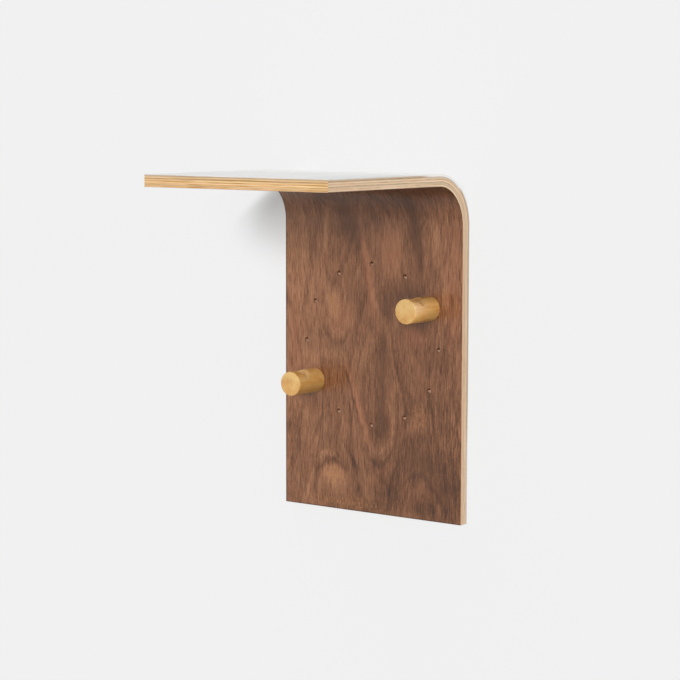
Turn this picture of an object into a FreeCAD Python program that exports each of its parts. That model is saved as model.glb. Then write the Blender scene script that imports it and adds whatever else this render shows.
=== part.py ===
import FreeCAD, Part
import os
import Sketcher

# A wall shelf bent from one sheet of plywood. The back panel hangs on the wall and turns
# through a large bend into the shelf. A ring of small blind holes in the panel takes two
# notched pegs, which plug in on steel pins and can be moved from hole to hole.
#
# Frame: the origin lies on the wall face, midway between the two wall screws that carry the
# shelf. X runs to the right along the wall, Y points into the wall and Z points up.
# All lengths are millimetres and all angles are degrees.

DRIVING_SIZES = {
    # Bent panel
    "panel_width": 220,
    "panel_height": 350,
    "shelf_depth": 232,
    "inner_bend_radius": 40,
    "laminate_thickness": 0.8,
    "ply_thickness": 1.2,
    "veneer_thickness": 0.6,
    # Ring of peg holes in the panel
    "ring_drop": 176.5,
    "ring_pitch_radius": 82.5,
    "ring_hole_count": 12,
    "ring_hole_diameter": 5,
    "ring_hole_depth": 9,
    # Wooden pegs
    "peg_diameter": 25,
    "peg_length": 42,
    "peg_face_gap": 0.2,
    "peg_rim_radius": 0.8,
    "peg_rear_chamfer": 0.4,
    "notch_depth": 7.5,
    "notch_setback": 15.5,
    "notch_half_angle": 45,
    "notch_root_radius": 1,
    # Steel pins of the pegs
    "pin_clearance": 0.05,
    "pin_depth_in_peg": 20,
    "pin_end_gap": 0.3,
    "pin_chamfer": 0.5,
    # Keyhole hanger plates
    "hanger_inset": 30,
    "hanger_edge_gap": 5,
    "plate_length": 45,
    "plate_width": 16,
    "plate_thickness": 2,
    "recess_clearance": 0.1,
    "keyhole_drop": 9,
    "keyhole_entry_diameter": 9,
    "keyhole_slot_width": 4.6,
    "head_pocket_width": 11,
    "head_pocket_depth": 4.8,
    # Wood screws of the hanger plates
    "screw_spacing": 34,
    "screw_length": 10,
    "screw_head_diameter": 6,
    "screw_shank_diameter": 3,
    "screw_tip_length": 2.5,
    "screw_clearance": 0.05,
    "driver_slot_length": 3,
    "driver_slot_width": 0.7,
    "driver_slot_depth": 0.9,
    # How far every cut starts outside the solid
    "cut_overrun": 1,
}

PLY_COUNT = 9
PLIES = [f"core_ply_{number}" for number in range(1, PLY_COUNT + 1)]

# Every layer of the bent panel, from the wall outwards, with the size that gives its thickness
LAYERS = {
    "outer_laminate": "laminate_thickness",
    **{ply: "ply_thickness" for ply in PLIES},
    "walnut_veneer": "veneer_thickness",
}

# Pegs by name, with the hour of the ring hole that each one is plugged into
PEG_HOURS = {"upper_peg": 2, "lower_peg": 8}

# Left and right sides of the shelf, with the sign of X
SIDES = {"left": -1, "right": 1}

HOURS_IN_RING = 12
FULL_TURN = 360
QUARTER_TURN = 90
COUNTERSINK_ANGLE = 90

# Indices that a sketch gives to its own axes and to the points of an edge
UPRIGHT_AXIS_INDEX = -2
START_INDEX = 1
END_INDEX = 2
CENTRE_INDEX = 3
ORIGIN_INDICES = (-1, START_INDEX)

# Largest share of a size by which two computed places may differ and still count as the same
SAME_PLACE_SHARE = 1e-6

doc = FreeCAD.newDocument("floating_shelf")


def add_sheet(name, cells):
    """Make a spreadsheet with one aliased cell for each named value."""
    sheet = doc.addObject("Spreadsheet::Sheet", name)
    for row, (alias, content) in enumerate(cells.items(), start=1):
        sheet.set(f"A{row}", alias)
        sheet.set(f"B{row}", str(content))
        sheet.setAlias(f"B{row}", alias)
    doc.recompute()
    return sheet


def derived_sizes():
    """Formulas for every size and place that follows from the driving sizes."""
    cells = {}
    back = "0"
    for layer, thickness in LAYERS.items():
        cells[f"{layer}_back"] = f"={back}"
        cells[f"{layer}_front"] = f"={layer}_back + dims.{thickness}"
        back = f"{layer}_front"
    cells["panel_thickness"] = "=walnut_veneer_front"
    cells["bend_radius"] = "=dims.inner_bend_radius + panel_thickness"
    for layer in LAYERS:
        cells[f"{layer}_outer_radius"] = f"=bend_radius - {layer}_back"
        cells[f"{layer}_inner_radius"] = f"=bend_radius - {layer}_front"
    cells["plate_centre_height"] = "=-dims.keyhole_drop / 2"
    cells["half_drop"] = "=dims.keyhole_drop / 2"
    cells["bend_height"] = "=plate_centre_height + dims.plate_length / 2 + dims.hanger_edge_gap"
    cells["shelf_height"] = "=bend_height + bend_radius"
    cells["panel_drop"] = "=dims.panel_height - shelf_height"
    cells["ring_centre_height"] = "=shelf_height - dims.ring_drop"
    cells["front_cut_offset"] = "=panel_thickness + dims.cut_overrun"
    cells["ring_cut_length"] = "=dims.ring_hole_depth + dims.cut_overrun"
    cells["ring_floor"] = "=panel_thickness - dims.ring_hole_depth"
    cells["back_cut_offset"] = "=-dims.cut_overrun"
    cells["half_hanger_spacing"] = "=dims.panel_width / 2 - dims.hanger_inset"
    cells["plate_end_radius"] = "=dims.plate_width / 2"
    cells["plate_arm"] = "=(dims.plate_length - dims.plate_width) / 2"
    cells["recess_end_radius"] = "=plate_end_radius + dims.recess_clearance"
    cells["recess_cut_length"] = "=dims.plate_thickness + dims.cut_overrun"
    cells["head_pocket_radius"] = "=dims.head_pocket_width / 2"
    cells["head_pocket_floor"] = "=dims.plate_thickness + dims.head_pocket_depth"
    cells["head_pocket_cut_length"] = "=head_pocket_floor + dims.cut_overrun"
    cells["slot_radius"] = "=dims.keyhole_slot_width / 2"
    cells["half_screw_spacing"] = "=dims.screw_spacing / 2"
    cells["screw_hole_diameter"] = "=dims.screw_shank_diameter + 2 * dims.screw_clearance"
    cells["screw_sink_diameter"] = "=dims.screw_head_diameter + 2 * dims.screw_clearance"
    cells["pilot_floor"] = "=dims.screw_length + dims.screw_clearance"
    cells["pilot_cut_length"] = "=pilot_floor + dims.cut_overrun"
    cells["screw_head_radius"] = "=dims.screw_head_diameter / 2"
    cells["screw_shank_radius"] = "=dims.screw_shank_diameter / 2"
    cells["screw_head_height"] = "=screw_head_radius - screw_shank_radius"
    cells["screw_tip_start"] = "=dims.screw_length - dims.screw_tip_length"
    cells["half_driver_length"] = "=dims.driver_slot_length / 2"
    cells["half_driver_width"] = "=dims.driver_slot_width / 2"
    cells["peg_radius"] = "=dims.peg_diameter / 2"
    cells["peg_bore_length"] = "=dims.pin_depth_in_peg + dims.pin_end_gap"
    cells["peg_bore_cut_length"] = "=peg_bore_length + dims.cut_overrun"
    cells["notch_place"] = "=dims.peg_length - dims.notch_setback"
    cells["notch_floor"] = "=peg_radius - dims.notch_depth"
    cells["notch_cut_height"] = "=peg_radius + dims.cut_overrun"
    cells["pin_diameter"] = "=dims.ring_hole_diameter - 2 * dims.pin_clearance"
    cells["pin_depth_in_panel"] = "=dims.ring_hole_depth - dims.pin_end_gap"
    cells["pin_start_offset"] = "=-pin_depth_in_panel"
    cells["pin_length"] = "=pin_depth_in_panel + dims.peg_face_gap + dims.pin_depth_in_peg"
    cells["peg_face_place"] = "=-(panel_thickness + dims.peg_face_gap)"
    cells["pin_place"] = "=-panel_thickness"
    for peg, hour in PEG_HOURS.items():
        angle = f"{hour} * {FULL_TURN} / {HOURS_IN_RING}"
        cells[f"{peg}_across"] = f"=dims.ring_pitch_radius * sin({angle})"
        cells[f"{peg}_up"] = f"=ring_centre_height + dims.ring_pitch_radius * cos({angle})"
    return cells


dims = add_sheet("dims", DRIVING_SIZES)
derived = add_sheet("derived", derived_sizes())


def size(alias):
    """The number behind a driving or derived size."""
    sheet = dims if alias in DRIVING_SIZES else derived
    return float(sheet.get(alias))


def link(alias):
    """The expression that reads a driving or derived size."""
    return f"dims.{alias}" if alias in DRIVING_SIZES else f"derived.{alias}"


def bind(feature, **sizes):
    """Bind properties of a feature to named sizes."""
    for name, alias in sizes.items():
        feature.setExpression(name, link(alias))


def place(part, across=None, out=None, up=None, opposite=False):
    """Bind the placement of a sub-part, with the X place negated on the left side."""
    if across:
        sign = "-" if opposite else ""
        part.setExpression("Placement.Base.x", sign + link(across))
    if out:
        part.setExpression("Placement.Base.y", link(out))
    if up:
        part.setExpression("Placement.Base.z", link(up))


def new_body(label):
    """Add an empty body that carries one sub-part."""
    body = doc.addObject("PartDesign::Body", label)
    body.Label = label
    return body


def new_sketch(body, name, plane, up=None, out=None):
    """Add a sketch on one of the body's own origin planes, moved by named sizes."""
    sketch = body.newObject("Sketcher::SketchObject", f"{body.Name}_{name}")
    support = next(item for item in body.Origin.OriginFeatures if item.Role == plane)
    sketch.AttachmentSupport = [(support, "")]
    sketch.MapMode = "FlatFace"
    if up:
        sketch.setExpression("AttachmentOffset.Base.y", link(up))
    if out:
        sketch.setExpression("AttachmentOffset.Base.z", link(out))
    return sketch


def dimension(sketch, name, alias, kind, *references):
    """Add a named dimension to a sketch and bind it to a size."""
    index = sketch.addConstraint(Sketcher.Constraint(kind, *references, size(alias)))
    sketch.renameConstraint(index, name)
    sketch.setExpression(f"Constraints.{name}", link(alias))


def offset_point(sketch, name, alias, kind, point, side):
    """Hold a point at a distance from the sketch's origin, on the side that the sign gives."""
    ends = (*ORIGIN_INDICES, *point) if side > 0 else (*point, *ORIGIN_INDICES)
    dimension(sketch, name, alias, kind, *ends)


def point(across, up):
    """A point in a sketch's own plane."""
    return FreeCAD.Vector(across, up, 0)


def line(sketch, start, end):
    """Add a straight edge to a sketch."""
    return sketch.addGeometry(Part.LineSegment(point(*start), point(*end)))


def round_edge(sketch, centre, radius, first_turn, last_turn):
    """Add an arc to a sketch, from one angle to another."""
    circle = Part.Circle(point(*centre), FreeCAD.Vector(0, 0, 1), radius)
    first = FreeCAD.Units.Quantity(f"{first_turn} deg").getValueAs("rad").Value
    last = FreeCAD.Units.Quantity(f"{last_turn} deg").getValueAs("rad").Value
    return sketch.addGeometry(Part.ArcOfCircle(circle, first, last))


def hole(sketch, name, diameter, across=None, up=None, across_side=1, up_side=1):
    """Add one circle to a sketch, with its centre on an axis where no distance is given."""
    x = across_side * size(across) if across else 0
    y = up_side * size(up) if up else 0
    circle = Part.Circle(point(x, y), FreeCAD.Vector(0, 0, 1), size(diameter) / 2)
    edge = sketch.addGeometry(circle)
    dimension(sketch, f"{name}_diameter", diameter, "Diameter", edge)
    if not across and not up:
        sketch.addConstraint(Sketcher.Constraint("Coincident", edge, CENTRE_INDEX, *ORIGIN_INDICES))
        return
    if across:
        offset_point(sketch, f"{name}_across", across, "DistanceX", (edge, CENTRE_INDEX), across_side)
    else:
        on_axis = Sketcher.Constraint("PointOnObject", edge, CENTRE_INDEX, UPRIGHT_AXIS_INDEX)
        sketch.addConstraint(on_axis)
    offset_point(sketch, f"{name}_up", up, "DistanceY", (edge, CENTRE_INDEX), up_side)


def obround(sketch, name, radius, arm, across=None, side=1):
    """Add an upright slot with round ends, whose two centres lie one arm above and below."""
    x = side * size(across) if across else 0
    r = size(radius)
    y = size(arm)
    top = round_edge(sketch, (x, y), r, 0, 2 * QUARTER_TURN)
    left = line(sketch, (x - r, y), (x - r, -y))
    bottom = round_edge(sketch, (x, -y), r, 2 * QUARTER_TURN, FULL_TURN)
    right = line(sketch, (x + r, -y), (x + r, y))
    for first, second in ((top, left), (left, bottom), (bottom, right), (right, top)):
        joined = Sketcher.Constraint("Tangent", first, END_INDEX, second, START_INDEX)
        sketch.addConstraint(joined)
    sketch.addConstraint(Sketcher.Constraint("Vertical", left))
    sketch.addConstraint(Sketcher.Constraint("Vertical", right))
    dimension(sketch, f"{name}_radius", radius, "Radius", top)
    offset_point(sketch, f"{name}_top", arm, "DistanceY", (top, CENTRE_INDEX), 1)
    offset_point(sketch, f"{name}_bottom", arm, "DistanceY", (bottom, CENTRE_INDEX), -1)
    if across:
        offset_point(sketch, f"{name}_across", across, "DistanceX", (top, CENTRE_INDEX), side)
    else:
        on_axis = Sketcher.Constraint("PointOnObject", top, CENTRE_INDEX, UPRIGHT_AXIS_INDEX)
        sketch.addConstraint(on_axis)


def closed_outline(sketch, corners):
    """Add straight edges round a list of corners and join their ends."""
    following = corners[1:] + corners[:1]
    edges = [line(sketch, start, end) for start, end in zip(corners, following)]
    for edge, next_edge in zip(edges, edges[1:] + edges[:1]):
        met = Sketcher.Constraint("Coincident", edge, END_INDEX, next_edge, START_INDEX)
        sketch.addConstraint(met)
    return edges


def pad(body, name, sketch, length, midplane=False):
    """Extrude a sketch along its normal."""
    feature = body.newObject("PartDesign::Pad", f"{body.Name}_{name}")
    feature.Profile = sketch
    feature.Midplane = midplane
    bind(feature, Length=length)
    body.Tip = feature
    return feature


def pocket(body, name, sketch, length=None, along_normal=False):
    """Cut a sketch into the body, to a depth or through everything both ways."""
    feature = body.newObject("PartDesign::Pocket", f"{body.Name}_{name}")
    feature.Profile = sketch
    if length:
        bind(feature, Length=length)
    else:
        feature.Type = "ThroughAll"
        feature.Midplane = True
    feature.Reversed = along_normal
    body.Tip = feature
    return feature


def polar_pattern(body, name, feature, sketch, angle, count):
    """Repeat a feature round its sketch's normal."""
    pattern = body.newObject("PartDesign::PolarPattern", f"{body.Name}_{name}")
    pattern.Originals = [feature]
    pattern.Axis = (sketch, ["N_Axis"])
    pattern.Angle = angle
    pattern.Occurrences = count
    body.Tip = pattern
    return pattern


def edges_at(shape, axis, place_on_axis, curve):
    """Names of the edges of one curve type that lie wholly at a place on an axis."""
    slack = SAME_PLACE_SHARE * shape.BoundBox.DiagonalLength
    names = []
    for number, edge in enumerate(shape.Edges, start=1):
        low = getattr(edge.BoundBox, f"{axis}Min")
        high = getattr(edge.BoundBox, f"{axis}Max")
        level = abs(low - place_on_axis) < slack and abs(high - place_on_axis) < slack
        if level and edge.Curve.TypeId == curve:
            names.append(f"Edge{number}")
    return names


def soften(body, name, kind, base, edges, **sizes):
    """Add a fillet or chamfer on named edges of a feature."""
    feature = body.newObject(f"PartDesign::{kind}", f"{body.Name}_{name}")
    feature.Base = (base, edges)
    bind(feature, **sizes)
    body.Tip = feature
    doc.recompute()
    return feature


# Bent panel

def bent_profile(sketch, layer):
    """Draw one layer's profile: up the wall, round the bend and out to the shelf's front."""
    outer, inner = f"{layer}_outer_radius", f"{layer}_inner_radius"
    back, front = -size(f"{layer}_back"), -size(f"{layer}_front")
    bottom, turn_height = -size("panel_drop"), size("bend_height")
    turn_place, shelf_front = -size("bend_radius"), -size("shelf_depth")
    top, underside = turn_height + size(outer), turn_height + size(inner)
    wall = line(sketch, (back, bottom), (back, turn_height))
    bend = round_edge(sketch, (turn_place, turn_height), size(outer), 0, QUARTER_TURN)
    shelf = line(sketch, (turn_place, top), (shelf_front, top))
    nose = line(sketch, (shelf_front, top), (shelf_front, underside))
    under = line(sketch, (shelf_front, underside), (turn_place, underside))
    inside = round_edge(sketch, (turn_place, turn_height), size(inner), 0, QUARTER_TURN)
    face = line(sketch, (front, turn_height), (front, bottom))
    foot = line(sketch, (front, bottom), (back, bottom))
    joints = (
        ("Tangent", wall, END_INDEX, bend, START_INDEX),
        ("Tangent", bend, END_INDEX, shelf, START_INDEX),
        ("Coincident", shelf, END_INDEX, nose, START_INDEX),
        ("Coincident", nose, END_INDEX, under, START_INDEX),
        ("Tangent", under, END_INDEX, inside, END_INDEX),
        ("Tangent", inside, START_INDEX, face, START_INDEX),
        ("Coincident", face, END_INDEX, foot, START_INDEX),
        ("Coincident", foot, END_INDEX, wall, START_INDEX),
        ("Coincident", bend, CENTRE_INDEX, inside, CENTRE_INDEX),
        ("Vertical", wall),
        ("Vertical", nose),
        ("Vertical", face),
        ("Horizontal", shelf),
        ("Horizontal", under),
        ("Horizontal", foot),
    )
    for joint in joints:
        sketch.addConstraint(Sketcher.Constraint(*joint))
    dimension(sketch, "outer_radius", outer, "Radius", bend)
    dimension(sketch, "inner_radius", inner, "Radius", inside)
    offset_point(sketch, "bend_place", "bend_radius", "DistanceX", (bend, CENTRE_INDEX), -1)
    offset_point(sketch, "bend_height", "bend_height", "DistanceY", (bend, CENTRE_INDEX), 1)
    offset_point(sketch, "panel_drop", "panel_drop", "DistanceY", (wall, START_INDEX), -1)
    offset_point(sketch, "shelf_depth", "shelf_depth", "DistanceX", (shelf, END_INDEX), -1)


def cut_hanger_recess(body):
    """Cut the two recesses that the hanger plates are let into, from the wall face."""
    sketch = new_sketch(body, "recess_sketch", "XZ_Plane", "plate_centre_height", "back_cut_offset")
    for name, side in SIDES.items():
        obround(sketch, name, "recess_end_radius", "plate_arm", "half_hanger_spacing", side)
    pocket(body, "recess", sketch, "recess_cut_length", along_normal=True)


def cut_head_pockets(body):
    """Cut the deeper pockets behind the plates, which leave room for the wall screws' heads."""
    sketch = new_sketch(body, "head_sketch", "XZ_Plane", "plate_centre_height", "back_cut_offset")
    for name, side in SIDES.items():
        obround(sketch, name, "head_pocket_radius", "half_drop", "half_hanger_spacing", side)
    pocket(body, "head_pocket", sketch, "head_pocket_cut_length", along_normal=True)


def cut_pilot_holes(body):
    """Cut the holes that the four plate screws are driven into."""
    sketch = new_sketch(body, "pilot_sketch", "XZ_Plane", "plate_centre_height", "back_cut_offset")
    for name, side in SIDES.items():
        for end, up_side in (("upper", 1), ("lower", -1)):
            hole(
                sketch,
                f"{name}_{end}",
                "screw_hole_diameter",
                "half_hanger_spacing",
                "half_screw_spacing",
                side,
                up_side,
            )
    pocket(body, "pilot_holes", sketch, "pilot_cut_length", along_normal=True)


def cut_ring_holes(body):
    """Cut the ring of peg holes from the front, one hole at the top and the rest round it."""
    sketch = new_sketch(body, "ring_sketch", "XZ_Plane", "ring_centre_height", "front_cut_offset")
    hole(sketch, "ring", "ring_hole_diameter", up="ring_pitch_radius")
    first = pocket(body, "ring_hole", sketch, "ring_cut_length")
    count = int(size("ring_hole_count"))
    polar_pattern(body, "ring", first, sketch, FULL_TURN, count)


def bent_layer(layer):
    """Build one layer of the bent panel, with the cuts that are deep enough to reach it."""
    body = new_body(layer)
    sketch = new_sketch(body, "profile", "YZ_Plane")
    bent_profile(sketch, layer)
    pad(body, "sheet", sketch, "panel_width", midplane=True)
    reach = SAME_PLACE_SHARE * size("panel_thickness")
    back = size(f"{layer}_back") + reach
    front = size(f"{layer}_front") - reach
    if back < size("plate_thickness"):
        cut_hanger_recess(body)
    if back < size("head_pocket_floor") and front > size("plate_thickness"):
        cut_head_pockets(body)
    if back < size("pilot_floor") and front > size("plate_thickness"):
        cut_pilot_holes(body)
    if front > size("ring_floor"):
        cut_ring_holes(body)
    return body


# Pegs and their pins

def peg(label):
    """Build a round peg with a V notch across its top and a blind bore in its rear face."""
    body = new_body(label)
    sketch = new_sketch(body, "section", "XZ_Plane")
    hole(sketch, "peg", "peg_diameter")
    rod = pad(body, "rod", sketch, "peg_length")
    doc.recompute()
    front = edges_at(rod.Shape, "Y", -size("peg_length"), "Part::GeomCircle")
    rim = soften(body, "rim", "Fillet", rod, front, Radius="peg_rim_radius")
    rear = edges_at(rim.Shape, "Y", 0, "Part::GeomCircle")
    soften(body, "rear_edge", "Chamfer", rim, rear, Size="peg_rear_chamfer")
    bore_sketch = new_sketch(body, "bore_sketch", "XZ_Plane")
    hole(bore_sketch, "bore", "ring_hole_diameter")
    pocket(body, "bore", bore_sketch, "peg_bore_length", along_normal=True)
    notch = pocket(body, "notch", notch_profile(body))
    doc.recompute()
    root = edges_at(notch.Shape, "Z", size("notch_floor"), "Part::GeomLine")
    soften(body, "notch_root", "Fillet", notch, root, Radius="notch_root_radius")
    return body


def notch_profile(body):
    """Draw the notch as a triangle that stands on its root and opens above the peg."""
    sketch = new_sketch(body, "notch_sketch", "YZ_Plane")
    middle = -size("notch_place")
    floor, opening = size("notch_floor"), size("notch_cut_height")
    half_opening = opening - floor
    corners = [
        (middle, floor),
        (middle + half_opening, opening),
        (middle - half_opening, opening),
    ]
    rear, top, front = closed_outline(sketch, corners)
    sketch.addConstraint(Sketcher.Constraint("Horizontal", top))
    sketch.addConstraint(Sketcher.Constraint("Equal", rear, front))
    offset_point(sketch, "place", "notch_place", "DistanceX", (rear, START_INDEX), -1)
    offset_point(sketch, "floor", "notch_floor", "DistanceY", (rear, START_INDEX), 1)
    offset_point(sketch, "opening", "notch_cut_height", "DistanceY", (top, START_INDEX), 1)
    full_angle = Sketcher.Constraint("Angle", rear, START_INDEX, front, END_INDEX, 1.0)
    index = sketch.addConstraint(full_angle)
    sketch.renameConstraint(index, "full_angle")
    sketch.setExpression("Constraints.full_angle", "2 * dims.notch_half_angle")
    return sketch


def peg_pin(label):
    """Build the steel pin that joins a peg to its ring hole."""
    body = new_body(label)
    sketch = new_sketch(body, "section", "XZ_Plane", out="pin_start_offset")
    hole(sketch, "pin", "pin_diameter")
    rod = pad(body, "rod", sketch, "pin_length")
    doc.recompute()
    box = rod.Shape.BoundBox
    ends = edges_at(rod.Shape, "Y", box.YMin, "Part::GeomCircle")
    ends += edges_at(rod.Shape, "Y", box.YMax, "Part::GeomCircle")
    soften(body, "ends", "Chamfer", rod, ends, Size="pin_chamfer")
    return body


# Keyhole hangers

def hanger_plate(label):
    """Build a keyhole plate: wall screws enter the round hole and rise into the slot."""
    body = new_body(label)
    sketch = new_sketch(body, "outline", "XZ_Plane")
    obround(sketch, "outline", "plate_end_radius", "plate_arm")
    pad(body, "plate", sketch, "plate_thickness")
    entry = new_sketch(body, "entry_sketch", "XZ_Plane", out="back_cut_offset")
    hole(entry, "entry", "keyhole_entry_diameter", up="half_drop", up_side=-1)
    pocket(body, "entry", entry, "recess_cut_length", along_normal=True)
    slot = new_sketch(body, "slot_sketch", "XZ_Plane", out="back_cut_offset")
    obround(slot, "slot", "slot_radius", "half_drop")
    pocket(body, "slot", slot, "recess_cut_length", along_normal=True)
    doc.recompute()
    holes = new_sketch(body, "screw_sketch", "XZ_Plane")
    for name, side in (("upper", 1), ("lower", -1)):
        hole(holes, name, "screw_hole_diameter", up="half_screw_spacing", up_side=side)
    doc.recompute()
    sinks = body.newObject("PartDesign::Hole", f"{body.Name}_screw_holes")
    sinks.Profile = holes
    sinks.Reversed = True
    sinks.Threaded = False
    sinks.DepthType = "ThroughAll"
    bind(sinks, Diameter="screw_hole_diameter")
    sinks.HoleCutType = "Countersink"
    sinks.HoleCutCustomValues = True
    sinks.HoleCutCountersinkAngle = COUNTERSINK_ANGLE
    bind(sinks, HoleCutDiameter="screw_sink_diameter")
    body.Tip = sinks
    return body


def wood_screw(label):
    """Build a countersunk wood screw with a cross recess, its head's face at the origin."""
    body = new_body(label)
    sketch = new_sketch(body, "profile", "XY_Plane")
    head, shank = size("screw_head_radius"), size("screw_shank_radius")
    neck, tip = -size("screw_head_height"), -size("screw_tip_start")
    corners = [(0, 0), (head, 0), (shank, neck), (shank, tip), (0, -size("screw_length"))]
    face, _, side, _, axis = closed_outline(sketch, corners)
    sketch.addConstraint(Sketcher.Constraint("Coincident", face, START_INDEX, *ORIGIN_INDICES))
    sketch.addConstraint(Sketcher.Constraint("Horizontal", face))
    sketch.addConstraint(Sketcher.Constraint("Vertical", side))
    sketch.addConstraint(Sketcher.Constraint("Vertical", axis))
    offset_point(sketch, "head", "screw_head_radius", "DistanceX", (face, END_INDEX), 1)
    offset_point(sketch, "shank", "screw_shank_radius", "DistanceX", (side, START_INDEX), 1)
    offset_point(sketch, "neck", "screw_head_height", "DistanceY", (side, START_INDEX), -1)
    offset_point(sketch, "tip", "screw_tip_start", "DistanceY", (side, END_INDEX), -1)
    offset_point(sketch, "length", "screw_length", "DistanceY", (axis, START_INDEX), -1)
    turned = body.newObject("PartDesign::Revolution", f"{body.Name}_turned")
    turned.Profile = sketch
    turned.ReferenceAxis = (sketch, ["V_Axis"])
    turned.Angle = FULL_TURN
    body.Tip = turned
    recess = new_sketch(body, "recess_sketch", "XZ_Plane")
    x, y = size("half_driver_length"), size("half_driver_width")
    low, right, high, left = closed_outline(recess, [(-x, -y), (x, -y), (x, y), (-x, y)])
    for direction, edge in (("Horizontal", low), ("Horizontal", high), ("Vertical", left)):
        recess.addConstraint(Sketcher.Constraint(direction, edge))
    recess.addConstraint(Sketcher.Constraint("Vertical", right))
    offset_point(recess, "left", "half_driver_length", "DistanceX", (low, START_INDEX), -1)
    offset_point(recess, "right", "half_driver_length", "DistanceX", (high, START_INDEX), 1)
    offset_point(recess, "low", "half_driver_width", "DistanceY", (low, START_INDEX), -1)
    offset_point(recess, "high", "half_driver_width", "DistanceY", (high, START_INDEX), 1)
    cut = pocket(body, "recess", recess, "driver_slot_depth", along_normal=True)
    polar_pattern(body, "cross", cut, recess, QUARTER_TURN, 2)
    return body


def screw_pair(label):
    """Group the two screws of one hanger plate round the plate's centre."""
    screws = []
    for end, sign in (("upper", ""), ("lower", "-")):
        screw = wood_screw(f"{label}_{end}")
        screw.setExpression("Placement.Base.z", sign + link("half_screw_spacing"))
        screws.append(screw)
    pair = doc.addObject("Part::Compound", label)
    pair.Label = label
    pair.Links = screws
    return pair


# Assembly

subparts = [bent_layer(layer) for layer in LAYERS]
for peg_name in PEG_HOURS:
    wooden_peg = peg(peg_name)
    place(wooden_peg, across=f"{peg_name}_across", out="peg_face_place", up=f"{peg_name}_up")
    pin = peg_pin(f"{peg_name}_pin")
    place(pin, across=f"{peg_name}_across", out="pin_place", up=f"{peg_name}_up")
    subparts += [wooden_peg, pin]
for side_name, side_sign in SIDES.items():
    plate = hanger_plate(f"{side_name}_hanger_plate")
    pair = screw_pair(f"{side_name}_hanger_screws")
    for part in (plate, pair):
        place(
            part,
            across="half_hanger_spacing",
            up="plate_centre_height",
            opposite=side_sign < 0,
        )
    subparts += [plate, pair]
doc.recompute()


def check_document():
    """Stop with a plain message if an object failed or a cut took nothing away."""
    for item in doc.Objects:
        if any(state in ("Invalid", "Error") for state in item.State):
            raise RuntimeError(f"{item.Name} failed: {item.State}")
        if item.TypeId == "Sketcher::SketchObject" and not item.FullyConstrained:
            raise RuntimeError(f"{item.Name} is not fully constrained")
        removes = item.TypeId.split("::")[-1] in ("Pocket", "Hole", "PolarPattern", "Chamfer")
        if removes and not item.Shape.Volume < item.BaseFeature.Shape.Volume:
            raise RuntimeError(f"{item.Name} takes nothing away")
    for item in subparts:
        if item.Shape.isNull() or not item.Shape.isValid():
            raise RuntimeError(f"{item.Label} has no valid shape")


def write_parts():
    """Write each sub-part to its own file and report its solids and volume."""
    os.makedirs("parts", exist_ok=True)
    for item in subparts:
        item.Shape.exportStep(f"parts/{item.Label}.step")
        volume = item.Shape.Volume
        print(f"{item.Label}: {len(item.Shape.Solids)} solid(s), {volume:.1f} cubic mm")


check_document()
write_parts()
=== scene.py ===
"""Looks for a bent plywood wall shelf with a walnut face and two notched pegs.

The shelf is one L of form-bent plywood: a white laminate skin outside, nine
light sheets and a walnut face inside. Twelve small holes stand in a ring on
the walnut, and a notched wooden peg is plugged into two of them.

Every piece is in metres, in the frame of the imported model. Sizes inside the
classes are in millimetres, and MM turns them into metres.
"""

import logging
import math
from dataclasses import dataclass
from enum import Enum
from typing import NamedTuple

import bmesh
import bpy
from mathutils import Matrix, Vector


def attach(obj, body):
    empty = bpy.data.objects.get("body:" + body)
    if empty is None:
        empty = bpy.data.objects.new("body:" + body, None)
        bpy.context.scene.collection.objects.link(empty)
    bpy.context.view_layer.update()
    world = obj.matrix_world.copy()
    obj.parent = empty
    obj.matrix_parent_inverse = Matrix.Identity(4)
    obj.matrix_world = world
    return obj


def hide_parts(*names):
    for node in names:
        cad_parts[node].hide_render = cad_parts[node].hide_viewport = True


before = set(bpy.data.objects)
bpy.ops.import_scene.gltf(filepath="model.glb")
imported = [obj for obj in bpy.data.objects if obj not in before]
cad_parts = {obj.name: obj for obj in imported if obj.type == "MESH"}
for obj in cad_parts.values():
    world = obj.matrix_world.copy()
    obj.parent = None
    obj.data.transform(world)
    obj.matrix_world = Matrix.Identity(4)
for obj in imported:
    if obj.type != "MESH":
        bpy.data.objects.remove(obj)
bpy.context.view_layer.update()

MM = 0.001
# How strongly scorch and painted shade darken the walls of the ring's holes.
HOLE_SCORCH_AND_SHADE = 0.94
log = logging.getLogger("shelf")


class Grain(Enum):
    """Which way a mark in the wood runs."""

    ALONG = "up the panel, round the bend and out to the shelf's edge"
    ACROSS = "from side to side"


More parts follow.
